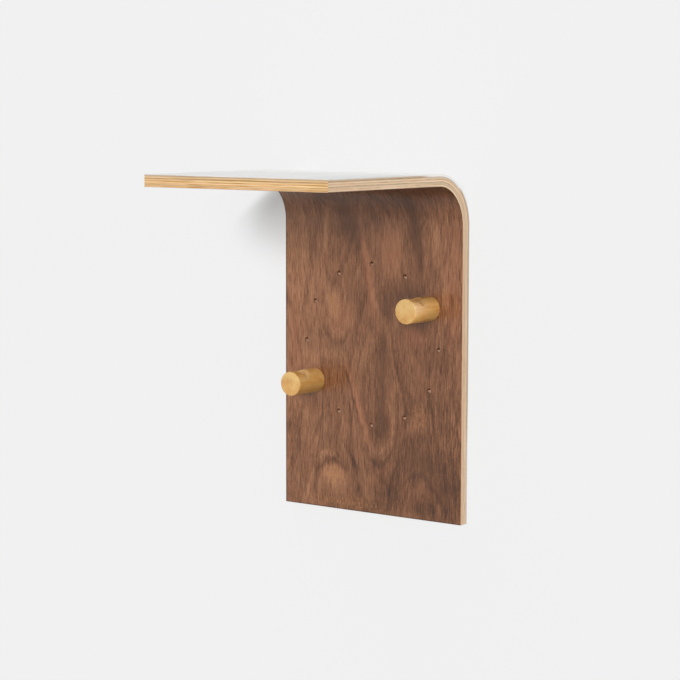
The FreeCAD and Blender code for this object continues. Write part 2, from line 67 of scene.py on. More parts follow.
class Colour(Enum):
    """Plain screen colours, 0 to 255, that the finishes are mixed from."""

    WALNUT_DARK = (50, 24, 8)
    WALNUT_DEEP = (88, 50, 22)
    WALNUT_MID = (128, 83, 54)
    WALNUT_PALE = (164, 115, 80)
    WALNUT_SMOKE = (95, 59, 34)
    WALNUT_RUSSET = (152, 94, 64)
    WALNUT_AMBER = (180, 124, 76)
    WALNUT_CUT = (222, 186, 144)
    PLY_SHADE = (190, 158, 124)
    PLY_TAN = (210, 178, 142)
    PLY_BUFF = (226, 196, 160)
    PLY_CREAM = (240, 212, 178)
    PLY_PALE = (252, 232, 204)
    PLY_END_DEEP = (158, 111, 54)
    PLY_END = (184, 142, 84)
    PLY_END_PALE = (208, 168, 114)
    PLY_LONG_DEEP = (212, 172, 110)
    PLY_LONG = (236, 201, 146)
    PLY_LONG_PALE = (248, 218, 170)
    PLY_BLUSH = (236, 192, 158)
    PLY_WARM = (220, 166, 122)
    PLY_STREAK = (142, 92, 38)
    PLY_GLUE = (160, 122, 84)
    HOLE_PAINTED_LIGHT = (255, 218, 190)
    HOLE_DARK = (120, 66, 26)
    HONEY_PALE = (242, 202, 134)
    HONEY = (228, 176, 100)
    HONEY_DEEP = (202, 134, 64)
    HONEY_GOLD = (244, 212, 140)
    HONEY_PAINTED_REFLECTION = (248, 208, 168)
    LAMINATE_WHITE = (240, 240, 238)
    LAMINATE_SHADE = (226, 227, 227)
    LAMINATE_CORE = (245, 243, 238)
    LAMINATE_CUT = (188, 178, 164)
    LAMINATE_HIGHLIGHT = (255, 252, 248)
    STEEL = (176, 178, 182)
    STEEL_DARK = (120, 122, 126)
    ZINC = (198, 202, 206)
    ZINC_DULL = (158, 163, 169)
    PASSIVATED = (214, 186, 112)
    PASSIVATED_DULL = (170, 140, 78)

    def linear(self) -> tuple[float, float, float, float]:
        """Turns the colour into the renderer's own linear values.

        Returns:
            Red, green and blue from 0 to 1, and full alpha.
        """
        parts = [c / 255 for c in self.value]
        shades = [c / 12.92 if c <= 0.04045 else ((c + 0.055) / 1.055) ** 2.4 for c in parts]
        return (*shades, 1.0)


class Reading:
    """A number or a colour that the nodes work out, held so that sums read as plain arithmetic."""

    def __init__(self, desk: "NodeDesk", socket: bpy.types.NodeSocket) -> None:
        """Holds one output.

        Args:
            desk: the desk of the tree that has the output.
            socket: the output.
        """
        self.desk = desk
        self.socket = socket

    def __add__(self, other: "Amount") -> "Reading":
        """This and the other together."""
        return self.desk.math("ADD", self, other)

    def __radd__(self, other: float) -> "Reading":
        """The other and this together."""
        return self.desk.math("ADD", other, self)

    def __sub__(self, other: "Amount") -> "Reading":
        """This less the other."""
        return self.desk.math("SUBTRACT", self, other)

    def __rsub__(self, other: float) -> "Reading":
        """The other less this."""
        return self.desk.math("SUBTRACT", other, self)

    def __mul__(self, other: "Amount") -> "Reading":
        """This times the other."""
        return self.desk.math("MULTIPLY", self, other)

    def __truediv__(self, other: "Amount") -> "Reading":
        """This over the other."""
        return self.desk.math("DIVIDE", self, other)

    def __pow__(self, power: float) -> "Reading":
        """This to a power."""
        return self.desk.math("POWER", self, power)

    def __abs__(self) -> "Reading":
        """This without its sign."""
        return self.desk.math("ABSOLUTE", self)


Amount = Reading | float
Paint = Reading | Colour


class NodeDesk:
    """Adds and wires the nodes of one node tree."""

    def __init__(self, tree: bpy.types.NodeTree) -> None:
        """Works on this tree.

        Args:
            tree: the tree of a material, a world or a node group.
        """
        self.tree = tree

    @classmethod
    def emptied(cls, owner: bpy.types.Material | bpy.types.World) -> "NodeDesk":
        """Gives a material or a world an empty node tree.

        Args:
            owner: the material or the world.

        Returns:
            A desk for its tree.
        """
        owner.use_nodes = True
        owner.node_tree.nodes.clear()
        return cls(owner.node_tree)

    def add(self, kind: str, **settings: object) -> bpy.types.Node:
        """Adds a node.

        Args:
            kind: the node's type name.
            settings: attributes to set on it.

        Returns:
            The new node.
        """
        node = self.tree.nodes.new(kind)
        for name, value in settings.items():
            setattr(node, name, value)
        return node

    def feed(self, socket: bpy.types.NodeSocket, value: object) -> None:
        """Links an output into a socket, or sets a plain value on it.

        Args:
            socket: the input.
            value: a reading, a bare output, a Colour, or a value that suits the input.
        """
        if isinstance(value, Reading):
            value = value.socket
        if isinstance(value, bpy.types.NodeSocket):
            self.tree.links.new(value, socket)
        else:
            socket.default_value = value.linear() if isinstance(value, Colour) else value

    def read(self, socket: bpy.types.NodeSocket) -> Reading:
        """Takes an output for use in sums."""
        return Reading(self, socket)

    def math(self, operation: str, first: Amount, second: Amount = 0.0) -> Reading:
        """Does one sum.

        Args:
            operation: the Math node's operation.
            first: a number or a reading.
            second: a number or a reading.

        Returns:
            The result.
        """
        node = self.add("ShaderNodeMath", operation=operation)
        for socket, value in zip(node.inputs, (first, second)):
            self.feed(socket, value)
        return self.read(node.outputs[0])

    def highest(self, first: Amount, second: Amount) -> Reading:
        """The higher of two numbers."""
        return self.math("MAXIMUM", first, second)

    def lowest(self, first: Amount, second: Amount) -> Reading:
        """The lower of two numbers."""
        return self.math("MINIMUM", first, second)

    def reach(self, side: Reading, rise: Reading) -> Reading:
        """How far a place lies from the middle, by its two parts."""
        return self.math("SQRT", side * side + rise * rise)

    def split(self, vector: bpy.types.NodeSocket) -> tuple[Reading, ...]:
        """Splits a vector or a colour.

        Args:
            vector: the output to split.

        Returns:
            Its three parts.
        """
        node = self.add("ShaderNodeSeparateXYZ")
        self.feed(node.inputs[0], vector)
        return tuple(self.read(part) for part in node.outputs)

    def places(self) -> tuple[Reading, ...]:
        """The place on the object in millimetres: x, y and z."""
        parts = self.split(self.add("ShaderNodeTexCoord").outputs["Object"])
        return tuple(part * (1 / MM) for part in parts)

    def facing(self) -> tuple[Reading, ...]:
        """The way that the surface faces: its normal's x, y and z."""
        return self.split(self.add("ShaderNodeTexCoord").outputs["Normal"])

    def stretch(self, parts: tuple[Reading, ...], lengths: tuple[float, ...]) -> Reading:
        """Divides each part by a length, so a pattern of scale 1 has blobs of those lengths.

        Args:
            parts: two or three readings, in millimetres.
            lengths: as many lengths, in millimetres.

        Returns:
            The vector.
        """
        node = self.add("ShaderNodeCombineXYZ")
        for socket, part, length in zip(node.inputs, parts, lengths):
            self.feed(socket, part / length)
        return self.read(node.outputs[0])

    def noise(
            self, parts: tuple[Reading, ...], lengths: tuple[float, ...],
            detail: float = 2.0, roughness: float = 0.5) -> Reading:
        """Adds a noise.

        Args:
            parts: the place, as two or three readings, in millimetres.
            lengths: how long its blobs are each way, in millimetres.
            detail: how many finer layers it has.
            roughness: how strong those layers are.

        Returns:
            Its value, around 0.5.
        """
        node = self.add("ShaderNodeTexNoise")
        self.feed(node.inputs["Vector"], self.stretch(parts, lengths))
        node.inputs["Scale"].default_value = 1.0
        node.inputs["Detail"].default_value = detail
        node.inputs["Roughness"].default_value = roughness
        return self.read(node.outputs[0])

    def line_noise(self, place: Reading, detail: float) -> Reading:
        """Adds a noise that varies along one number only.

        Args:
            place: the number to read it at.
            detail: how many finer layers it has.

        Returns:
            Its value, around 0.5.
        """
        node = self.add("ShaderNodeTexNoise", noise_dimensions="1D")
        self.feed(node.inputs["W"], place)
        node.inputs["Scale"].default_value = 1.0
        node.inputs["Detail"].default_value = detail
        return self.read(node.outputs[0])

    def remap(
            self, value: Reading, low: float, high: float,
            to_low: Amount = 0.0, to_high: Amount = 1.0) -> Reading:
        """Maps a range smoothly to another one, and holds it there.

        Args:
            value: the reading.
            low: the start of its range.
            high: the end of its range.
            to_low: what the start becomes.
            to_high: what the end becomes.

        Returns:
            The mapped value.
        """
        node = self.add("ShaderNodeMapRange", interpolation_type="SMOOTHSTEP")
        for socket, part in zip(node.inputs, (value, low, high, to_low, to_high)):
            self.feed(socket, part)
        return self.read(node.outputs[0])

    def ramp(self, value: Reading, stops: list[tuple[float, Colour]]) -> Reading:
        """Turns a number into a colour.

        Args:
            value: the reading, from 0 to 1.
            stops: places and their colours, lowest first.

        Returns:
            The colour.
        """
        node = self.add("ShaderNodeValToRGB")
        self.feed(node.inputs[0], value)
        marks = node.color_ramp.elements
        while len(marks) < len(stops):
            marks.new(0.5)
        for mark, (place, colour) in zip(marks, stops):
            mark.position = place
            mark.color = colour.linear()
        return self.read(node.outputs[0])

    def tint(self, amount: Amount, under: Paint, over: Paint) -> Reading:
        """Lays one colour over another.

        Args:
            amount: how much of the upper colour, from 0 to 1.
            under: the lower colour.
            over: the upper colour.

        Returns:
            The mixed colour.
        """
        node = self.add("ShaderNodeMix", data_type="RGBA")
        self.feed(node.inputs[0], amount)
        self.feed(node.inputs[6], under)
        self.feed(node.inputs[7], over)
        return self.read(node.outputs[2])

    def shade(self, colour: Paint, strength: Amount) -> Reading:
        """Multiplies a colour by a number.

        Args:
            colour: the colour.
            strength: the number or reading, 1 for no change.

        Returns:
            The shaded colour.
        """
        node = self.add("ShaderNodeVectorMath", operation="SCALE")
        self.feed(node.inputs[0], colour.linear()[:3] if isinstance(colour, Colour) else colour)
        self.feed(node.inputs["Scale"], strength)
        return self.read(node.outputs[0])

    def light(self, kind: str, strength: float) -> bpy.types.NodeSocket:
        """Adds a white glow.

        Args:
            kind: the type name of an emission or a background node.
            strength: how bright it is, 1 for white.

        Returns:
            The shader.
        """
        node = self.add(kind)
        node.inputs["Color"].default_value = (1.0, 1.0, 1.0, 1.0)
        node.inputs["Strength"].default_value = strength
        return node.outputs[0]

    def mixed(
            self, amount: Amount, first: bpy.types.NodeSocket,
            second: bpy.types.NodeSocket) -> bpy.types.NodeSocket:
        """Mixes two shaders.

        Args:
            amount: 0 for the first, 1 for the second.
            first: a shader.
            second: a shader.

        Returns:
            The mixed shader.
        """
        node = self.add("ShaderNodeMixShader")
        for socket, value in zip(node.inputs, (amount, first, second)):
            self.feed(socket, value)
        return node.outputs[0]


class SheetPlace:
    """Coordinates that follow the bent sheet, as a node group.

    Along is the way up the panel, round the bend and out along the shelf, 0 at
    the bend's foot. Across is the side to side place. Depth is the distance
    below the white outside. All are in millimetres.
    """

    NAME = "sheet_place"
    OUTPUTS = ("Across", "Along", "Depth")
    BEND_BACK = 52.2
    BEND_HEIGHT = 23.0
    GRAIN_RADIUS = 42.0
    RING_RADIUS = 82.5
    RING_HEIGHT = -101.3
    BAND_EDGE = (4.0, 3.2)

    def __init__(self, desk: NodeDesk) -> None:
        """Adds the group to a tree, and keeps its outputs.

        Args:
            desk: the tree that uses the coordinates.
        """
        group = bpy.data.node_groups.get(self.NAME) or self.build()
        node = desk.add("ShaderNodeGroup", node_tree=group)
        self.across, self.along, self.depth = (desk.read(node.outputs[name]) for name in self.OUTPUTS)
        self.parts = (self.across, self.along, self.depth)

    def build(self) -> bpy.types.NodeTree:
        """Makes the group once.

        Returns:
            The group.
        """
        group = bpy.data.node_groups.new(self.NAME, "ShaderNodeTree")
        for name in self.OUTPUTS:
            group.interface.new_socket(name, in_out="OUTPUT", socket_type="NodeSocketFloat")
        desk = NodeDesk(group)
        x, y, z = desk.places()
        back = y + self.BEND_BACK
        up = z - self.BEND_HEIGHT
        back_in = desk.highest(back, 0.0)
        up_in = desk.highest(up, 0.0)
        panel = desk.lowest(up, 0.0)
        arc = desk.math("ARCTAN2", up_in, back_in) * self.GRAIN_RADIUS
        shelf = desk.highest(back * -1.0, 0.0)
        out = desk.add("NodeGroupOutput")
        desk.feed(out.inputs["Across"], x)
        desk.feed(out.inputs["Along"], panel + arc + shelf)
        desk.feed(out.inputs["Depth"], self.BEND_BACK - desk.reach(back_in, up_in))
        return group

    def near_ring(self, desk: NodeDesk) -> Reading:
        """Finds the band that the ring's small holes lie in.

        Args:
            desk: the material's desk.

        Returns:
            1 in the band, 0 away from it.
        """
        rise = self.along - (self.RING_HEIGHT - self.BEND_HEIGHT)
        off = abs(desk.reach(self.across, rise) - self.RING_RADIUS)
        return desk.remap(off, *self.BAND_EDGE)


@dataclass(frozen=True)
class Stroke:
    """One soft mark in the wood's figure: a long oval along the sheet, leaning or bowed."""

    across: float
    along: float
    half_width: float
    half_length: float
    strength: float
    lean: float = 0.0
    bow: float = 0.0
    run: Grain = Grain.ALONG


@dataclass(frozen=True)
class CrossStroke(Stroke):
    """A stroke with its length from side to side, where a bow makes it a cup or an arch."""

    run: Grain = Grain.ACROSS


class SoftSpots:
    """Soft ovals on a surface, from a node group: 1 in an oval's middle, 0 outside."""

    NAME = "soft_spot"
    INPUTS = (
        "Across", "Along", "Middle across", "Middle along",
        "Half width", "Half length", "Lean", "Bow")
    FADE = (0.25, 1.2)

    def __init__(self, desk: NodeDesk, across: Reading, along: Reading) -> None:
        """Takes the surface's places.

        Args:
            desk: the tree that uses the ovals.
            across: the side to side place.
            along: the place along the surface.
        """
        self.desk = desk
        self.across = across
        self.along = along

    def build(self) -> bpy.types.NodeTree:
        """Makes the group once.

        Returns:
            The group.
        """
        group = bpy.data.node_groups.new(self.NAME, "ShaderNodeTree")
        for name in self.INPUTS:
            group.interface.new_socket(name, in_out="INPUT", socket_type="NodeSocketFloat")
        group.interface.new_socket("Spot", in_out="OUTPUT", socket_type="NodeSocketFloat")
        desk = NodeDesk(group)
        given = desk.add("NodeGroupInput").outputs
        across, along, middle_across, middle_along, half_width, half_length, lean, bow = (
            desk.read(given[name]) for name in self.INPUTS)
        rise = along - middle_along
        side = across - middle_across
        side -= rise * lean
        side -= rise * rise * bow
        out = desk.add("NodeGroupOutput")
        far = desk.reach(side / half_width, rise / half_length)
        desk.feed(out.inputs["Spot"], desk.remap(far, *self.FADE, 1.0, 0.0))
        return group

    def lay(self, stroke: Stroke) -> Reading:
        """Adds one oval.

        Args:
            stroke: where the oval lies, and its shape.

        Returns:
            The oval's value.
        """
        group = bpy.data.node_groups.get(self.NAME) or self.build()
        node = self.desk.add("ShaderNodeGroup", node_tree=group)
        place, middle = (self.across, self.along), (stroke.across, stroke.along)
        if stroke.run is Grain.ACROSS:
            place, middle = place[::-1], middle[::-1]
        shape = (stroke.half_width, stroke.half_length, stroke.lean, stroke.bow)
        for name, value in zip(self.INPUTS, (*place, *middle, *shape)):
            self.desk.feed(node.inputs[name], value)
        return self.desk.read(node.outputs[0])

    def sum(self, strokes: tuple[Stroke, ...]) -> Reading:
        """Adds up strokes.

        Args:
            strokes: the strokes.

        Returns:
            The sum of their values, each times its strength.
        """
        total: Amount = 0.0
        for stroke in strokes:
            total += self.lay(stroke) * stroke.strength
        return total


@dataclass(frozen=True)
class Finish:
    """What every finish has: a name and the surface's plain values."""

    name: str
    roughness: float = 0.5
    metallic: float = 0.0
    relief: float = 0.02

    def start(self) -> tuple[bpy.types.Material, NodeDesk, bpy.types.Node]:
        """Makes an empty material with one shader.

        Returns:
            The material, a desk for its tree, and the shader node.
        """
        material = bpy.data.materials.new(self.name)
        desk = NodeDesk.emptied(material)
        shader = desk.add("ShaderNodeBsdfPrincipled")
        shader.inputs["Metallic"].default_value = self.metallic
        shader.inputs["Roughness"].default_value = self.roughness
        out = desk.add("ShaderNodeOutputMaterial")
        desk.feed(out.inputs["Surface"], shader.outputs[0])
        return material, desk, shader

    def emboss(self, desk: NodeDesk, shader: bpy.types.Node, height: Reading) -> None:
        """Gives the shader a relief.

        Args:
            desk: the material's desk.
            shader: the shader node.
            height: the height, where 1 stands proud by the finish's relief in millimetres.
        """
        bump = desk.add("ShaderNodeBump")
        bump.inputs["Distance"].default_value = self.relief * MM
        desk.feed(bump.inputs["Height"], height)
        desk.feed(shader.inputs["Normal"], bump.outputs[0])

    def polish(
            self, desk: NodeDesk, shader: bpy.types.Node, pattern: Reading,
            span: tuple[float, float], change: tuple[float, float]) -> None:
        """Varies the shader's roughness with a pattern.

        Args:
            desk: the material's desk.
            shader: the shader node.
            pattern: the pattern.
            span: its low and high ends.
            change: what each end adds to the finish's own roughness.
        """
        ends = (self.roughness + part for part in change)
        desk.feed(shader.inputs["Roughness"], desk.remap(pattern, *span, *ends))


@dataclass(frozen=True)
class WalnutFace(Finish):
    """Two book-matched leaves of crown-cut walnut with a satin finish.

    The figure strokes are the leaves' broad marks: ribbons beside the seam,
    the flanks of the crowns, and the cups and arches where they close. Smoke,
    russet and amber are where those colours lie. The weights are how strongly
    the broad rings, the dashes, the streaks and the clouds show.
    """

    name: str = "satin_walnut"
    roughness: float = 0.3
    relief: float = 0.03
    seam: float = 5.0
    heart: float = 50.0
    saddle: float = -176.0
    ring_width: float = 9.0
    flank: float = 46.0
    sway: float = 16.0
    outer_start: float = 66.0
    outer_slope: float = 1.3
    right_shift: float = 18.0
    right_rings: float = 31.0
    crown: float = 0.07
    crown_power: float = 1.3
    gloss: float = 0.4
    cut_depth: tuple[float, float] = (12.14, 12.04)
    base_level: float = 0.575
    weights: tuple[float, ...] = (0.45, 0.42, 0.33, 0.45)
    ramp_marks: tuple[float, ...] = (0.0, 0.3, 0.58, 0.95)
    figure: tuple[Stroke, ...] = (
        Stroke(-58.0, -16.0, 4.5, 34.0, 0.16, lean=0.1),
        Stroke(-77.0, -45.0, 5.0, 78.0, -0.15, lean=0.2),
        Stroke(-24.0, -12.0, 11.0, 46.0, -0.16, lean=-0.4),
        Stroke(-7.5, -34.0, 4.0, 52.0, 0.3, lean=-0.19),
        Stroke(4.0, -84.0, 4.5, 40.0, 0.16, lean=-0.12),
        Stroke(3.0, -64.0, 6.0, 18.0, 0.1),
        Stroke(24.0, -22.0, 17.0, 40.0, 0.2),
        Stroke(55.0, -12.0, 8.0, 58.0, -0.2, lean=-0.16),
        Stroke(46.0, -82.0, 34.0, 30.0, -0.17),
        Stroke(80.0, -22.0, 8.0, 66.0, 0.17, lean=-0.2),
        Stroke(103.0, -70.0, 7.0, 110.0, 0.12, lean=-0.04),
        Stroke(91.0, -44.0, 6.5, 56.0, 0.15),
        Stroke(-48.0, -91.0, 12.0, 20.0, 0.33),
        Stroke(-72.0, -66.0, 15.0, 32.0, 0.13),
        Stroke(-16.5, -184.0, 4.0, 46.0, 0.22, lean=-0.36),
        Stroke(-22.5, -180.0, 2.5, 44.0, -0.2, lean=-0.34),
        Stroke(-68.0, -216.0, 3.0, 22.0, -0.16, lean=0.3),
        Stroke(-62.0, -238.0, 8.0, 26.0, 0.1),
        Stroke(-34.0, -222.0, 8.0, 40.0, 0.12),
        Stroke(-33.0, -276.0, 7.0, 22.0, 0.16),
        Stroke(-78.0, -274.0, 3.5, 26.0, 0.2, lean=0.33),
        Stroke(-20.0, -250.0, 4.0, 24.0, -0.17, lean=-0.6),
        Stroke(-4.0, -230.0, 6.0, 7.0, -0.18),
        Stroke(-48.0, -262.0, 17.0, 13.0, 0.22),
        Stroke(-14.0, -272.0, 4.0, 8.0, -0.2),
        Stroke(26.0, -278.0, 24.0, 18.0, -0.15),
        Stroke(27.0, -198.0, 3.0, 40.0, 0.15, lean=0.05),
        Stroke(33.0, -205.0, 2.5, 44.0, -0.15, lean=0.08),
        Stroke(15.0, -160.0, 5.0, 60.0, -0.12),
        Stroke(60.0, -196.0, 14.0, 16.0, 0.05),
        Stroke(77.0, -204.0, 2.8, 44.0, -0.18, lean=-0.14),
        Stroke(62.0, -240.0, 30.0, 14.0, -0.1),
        Stroke(80.0, -136.0, 22.0, 20.0, -0.09),
        Stroke(-74.0, -136.0, 18.0, 18.0, 0.12),
        Stroke(-44.0, -136.0, 20.0, 26.0, 0.09),
        Stroke(88.0, -262.0, 24.0, 36.0, -0.2),
        Stroke(-96.0, -236.0, 14.0, 60.0, -0.12),
        Stroke(-86.0, -68.0, 20.0, 24.0, 0.12),
        Stroke(-34.0, -98.0, 16.0, 24.0, 0.12),
        Stroke(-84.0, -142.0, 20.0, 18.0, 0.12),
        Stroke(30.5, -93.0, 4.5, 14.0, 0.26),
        Stroke(98.0, -86.0, 9.0, 22.0, 0.13),
        Stroke(91.0, -140.0, 9.0, 22.0, -0.13),
        Stroke(-30.0, -174.0, 6.0, 24.0, 0.15),
        Stroke(53.0, -220.0, 13.0, 14.0, -0.14),
        Stroke(-52.0, -270.0, 22.0, 16.0, 0.13),
        Stroke(66.0, -286.0, 18.0, 8.0, -0.15),
        Stroke(62.0, -107.0, 12.0, 8.0, -0.14),
        Stroke(14.0, -290.0, 16.0, 6.0, -0.15),
    )
    crowns: tuple[Stroke, ...] = (
        CrossStroke(-45.0, -125.0, 5.5, 22.0, -0.2, bow=0.05),
        CrossStroke(-45.0, -112.0, 5.0, 16.0, 0.14, bow=0.06),
        CrossStroke(-55.0, -137.0, 5.0, 28.0, 0.12),
        CrossStroke(-55.0, -240.0, 4.5, 22.0, 0.2, bow=-0.03),
        CrossStroke(-48.0, -247.0, 4.0, 26.0, -0.18, bow=-0.03),
        CrossStroke(9.0, -248.0, 5.5, 24.0, -0.2, bow=0.05),
        CrossStroke(8.0, -234.0, 5.0, 18.0, 0.1, bow=0.06),
        CrossStroke(58.0, -252.0, 4.5, 26.0, -0.2, bow=-0.035),
        CrossStroke(60.0, -268.0, 4.5, 26.0, 0.06, bow=-0.03),
        CrossStroke(-38.0, -288.0, 7.0, 44.0, -0.08),
    )
    smoke: tuple[Stroke, ...] = (
        Stroke(46.0, -84.0, 34.0, 34.0, 0.6),
        Stroke(-26.0, 6.0, 20.0, 40.0, 0.55, lean=-0.4),
        Stroke(54.0, 0.0, 10.0, 66.0, 0.5, lean=-0.16),
        Stroke(14.0, -160.0, 8.0, 66.0, 0.5),
        Stroke(60.0, -244.0, 28.0, 22.0, 0.4),
        Stroke(-62.0, -132.0, 34.0, 10.0, 0.3),
    )
    russet: tuple[Stroke, ...] = (
        Stroke(-4.0, -54.0, 7.0, 66.0, 0.6, lean=-0.17),
        Stroke(24.0, -24.0, 17.0, 34.0, 0.5),
        Stroke(54.0, -112.0, 16.0, 14.0, 0.5),
        Stroke(-40.0, -98.0, 24.0, 22.0, 0.35),
        Stroke(-14.0, -190.0, 6.0, 50.0, 0.55, lean=-0.36),
        Stroke(-98.0, -130.0, 12.0, 90.0, 0.35),
        Stroke(100.0, -60.0, 12.0, 90.0, 0.4),
    )
    amber: tuple[Stroke, ...] = (
        Stroke(-45.0, -86.0, 9.0, 16.0, 0.45),
        Stroke(-48.0, -262.0, 18.0, 13.0, 0.55),
        Stroke(-30.0, -290.0, 60.0, 9.0, 0.45),
        Stroke(60.0, -196.0, 13.0, 14.0, 0.4),
    )

    def rings(self, desk: NodeDesk, across: Reading, along: Reading, right: Reading) -> Reading:
        """Works out which growth ring a place lies in.

        The rings stand in a saddle: crowns open upwards above it and arches
        stand below it, about a heart line in each leaf.

        Args:
            desk: the material's desk.
            across: the side to side place.
            along: the place along the sheet.
            right: 1 on the right leaf, 0 on the left one.

        Returns:
            The ring number, with a fraction.
        """
        from_seam = abs(across - self.seam)
        sway = desk.noise((across, along), (42.0, 110.0), 1.0)
        side = from_seam + (sway - 0.5) * self.sway
        turn = (side - self.heart) * (math.pi / self.heart)
        swell = desk.math("COSINE", turn) * (-self.flank / 2)
        outer = desk.highest(side - self.outer_start, 0.0) * self.outer_slope
        rise = along - self.saddle + right * self.right_shift
        climb = abs(rise) ** self.crown_power * self.crown
        reach = swell + outer - climb
        wander = desk.noise((across, along), (20.0, 46.0), 2.0)
        fray = desk.noise((across, along), (1.3, 15.0), 2.0, 0.6)
        return reach / self.ring_width + wander * 1.8 + fray * 0.55

    def late_wood(
            self, desk: NodeDesk, across: Reading, along: Reading, right: Reading,
            number: Reading) -> Reading:
        """Finds the dark line at each ring's end, which is fainter in some rings and places.

        Args:
            desk: the material's desk.
            across: the side to side place.
            along: the place along the sheet.
            right: 1 on the right leaf, 0 on the left one.
            number: the ring number, with a fraction.

        Returns:
            1 in the line, 0 away from it.
        """
        year = desk.math("FRACT", number)
        late = desk.remap(year, 0.45, 0.96) * desk.remap(year, 0.995, 0.96)
        each = desk.line_noise(desk.math("FLOOR", number) + right * self.right_rings, 0.0)
        late *= desk.remap(each, 0.35, 0.65, 0.1, 1.0)
        patchy = desk.noise((across, along), (24.0, 60.0), 1.0)
        return late * desk.remap(patchy, 0.38, 0.62, 0.15, 1.0)

    def make(self) -> bpy.types.Material:
        """Makes the walnut.

        Returns:
            The material.
        """
        material, desk, shader = self.start()
        shader.inputs["Specular IOR Level"].default_value = self.gloss
        place = SheetPlace(desk)
        across, along = place.across, place.along
        right = desk.math("GREATER_THAN", across, self.seam)
        number = self.rings(desk, across, along, right)
        late = self.late_wood(desk, across, along, right, number)
        broad = desk.line_noise(number * 0.8, 1.0)
        fine = desk.noise((across, along), (0.5, 14.0), 2.0, 0.6)
        fibre = desk.noise((across, along), (1.5, 22.0), 3.0, 0.7)
        streak = desk.noise((across, along), (5.0, 80.0), 3.0, 0.6)
        cloud = desk.noise((across, along), (24.0, 40.0), 2.0)

        # Noise along the fibres shifts the listed marks, so none has a smooth outline.
        drift = desk.noise((across, along), (16.0, 34.0), 2.0)
        pull = desk.noise((across, along), (1.7, 26.0), 2.0)
        dash = desk.noise((across, along), (1.0, 4.5), 2.0, 0.6)
        spots = SoftSpots(desk, across + (drift + fibre * 0.4 - 0.7) * 11.0, along + (pull - 0.5) * 13.0)
        figure = spots.sum(self.figure)
        figure += spots.sum(self.crowns) * desk.remap(dash, 0.35, 0.62, 0.25, 1.45)

        # How light each place is: fibres first, then the broad patterns, the marks and the late wood.
        rough = (fibre - 0.5) * 0.82 + (fine - 0.5) * 1.15
        level = self.base_level + rough * desk.remap(abs(across), 76.0, 98.0, 1.0, 1.35)
        for part, weight in zip((broad, dash, streak, cloud), self.weights):
            level += (part - 0.5) * weight
        level += figure * desk.remap(fibre, 0.25, 0.75, 0.7, 1.3)
        level -= late * 0.17

        # Darker on the right leaf, most of all beside the seam, and lighter towards the left edge.
        # Painted shade darkens the face towards the foot and on the bend under the shelf.
        beside = right * desk.remap(across, self.seam, self.seam + 16.0, 0.11, 0.0)
        beside *= desk.remap(abs(along + 160.0), 75.0, 50.0)
        level -= beside + right * 0.03
        level += desk.remap(across, -40.0, -108.0, 0.0, 0.12)
        level -= desk.remap(along, -120.0, -270.0, 0.0, 0.07)
        level -= desk.remap(along, -8.0, 34.0, 0.0, 0.085)

        shades = (Colour.WALNUT_DARK, Colour.WALNUT_DEEP, Colour.WALNUT_MID, Colour.WALNUT_PALE)
        colour = desk.ramp(level, list(zip(self.ramp_marks, shades)))

        smoky = desk.shade(Colour.WALNUT_SMOKE, desk.remap(fibre, 0.2, 0.8, 0.85, 1.2))
        for strokes, paint, through in (
                (self.smoke, smoky, desk.remap(streak, 0.25, 0.6, 0.55, 1.0)),
                (self.russet, Colour.WALNUT_RUSSET, desk.remap(fibre, 0.3, 0.65, 0.3, 0.9)),
                (self.amber, Colour.WALNUT_AMBER, desk.remap(dash, 0.42, 0.62))):
            colour = desk.tint(desk.lowest(spots.sum(strokes), 1.0) * through, colour, paint)

        pore = desk.remap(desk.noise((across, along), (0.35, 5.0), 2.0, 0.7), 0.36, 0.26)
        colour = desk.tint(pore * 0.55, colour, Colour.WALNUT_DARK)
        colour = self.cut_edges(desk, place, colour)
        desk.feed(shader.inputs["Base Color"], colour)
        self.polish(desk, shader, fibre, (0.25, 0.75), (0.05, -0.05))
        self.emboss(desk, shader, fibre - pore)
        return material

    def cut_edges(self, desk: NodeDesk, place: SheetPlace, colour: Reading) -> Reading:
        """Colours the face's cut edges, the ring's holes and the seam, and lays painted shade on the left
        and lower arrises.

        Args:
            desk: the material's desk.
            place: the sheet's coordinates.
            colour: the face's own colour.

        Returns:
            The colour with these laid over it.
        """
        across, along = place.across, place.along
        inside = desk.remap(place.depth, *self.cut_depth)
        on_bend = desk.remap(along, -10.0, 20.0) * desk.remap(along, 84.0, 60.0, 0.1, 0.9)
        edge = desk.remap(abs(across), 109.8, 109.95, 0.85, desk.highest(on_bend, 0.1))
        colour = desk.tint(inside * edge, colour, Colour.WALNUT_CUT)
        # Scorch and painted shade darken the veneer's walls in the ring's holes.
        colour = desk.tint(inside * place.near_ring(desk) * HOLE_SCORCH_AND_SHADE, colour, Colour.HOLE_DARK)
        # Painted shade: a dark line along the left arris and along the foot's arris.
        shaded_arris = desk.highest(desk.remap(along, -296.2, -297.3), desk.remap(across, -108.2, -109.3))
        colour = desk.tint(shaded_arris * 0.55, colour, Colour.WALNUT_DARK)
        joint = desk.remap(abs(across - self.seam), 0.5, 0.1)
        return desk.tint(joint * 0.4, colour, Colour.WALNUT_DARK)


@dataclass(frozen=True)
class PlyTone:
    """How one ply's edges stand out from its neighbours'.

    Its side edges, those edges round the bend, and its front and foot edges have a
    lightness of their own, and the outer plies' edges are greyer, with a painted
    highlight that whitens their sides on the bend, and whiter sides at the foot.
    """

    side: float = 1.0
    end: float = 1.0
    bend: float = 1.0
    grey: float = 0.0
    white: float = 0.0


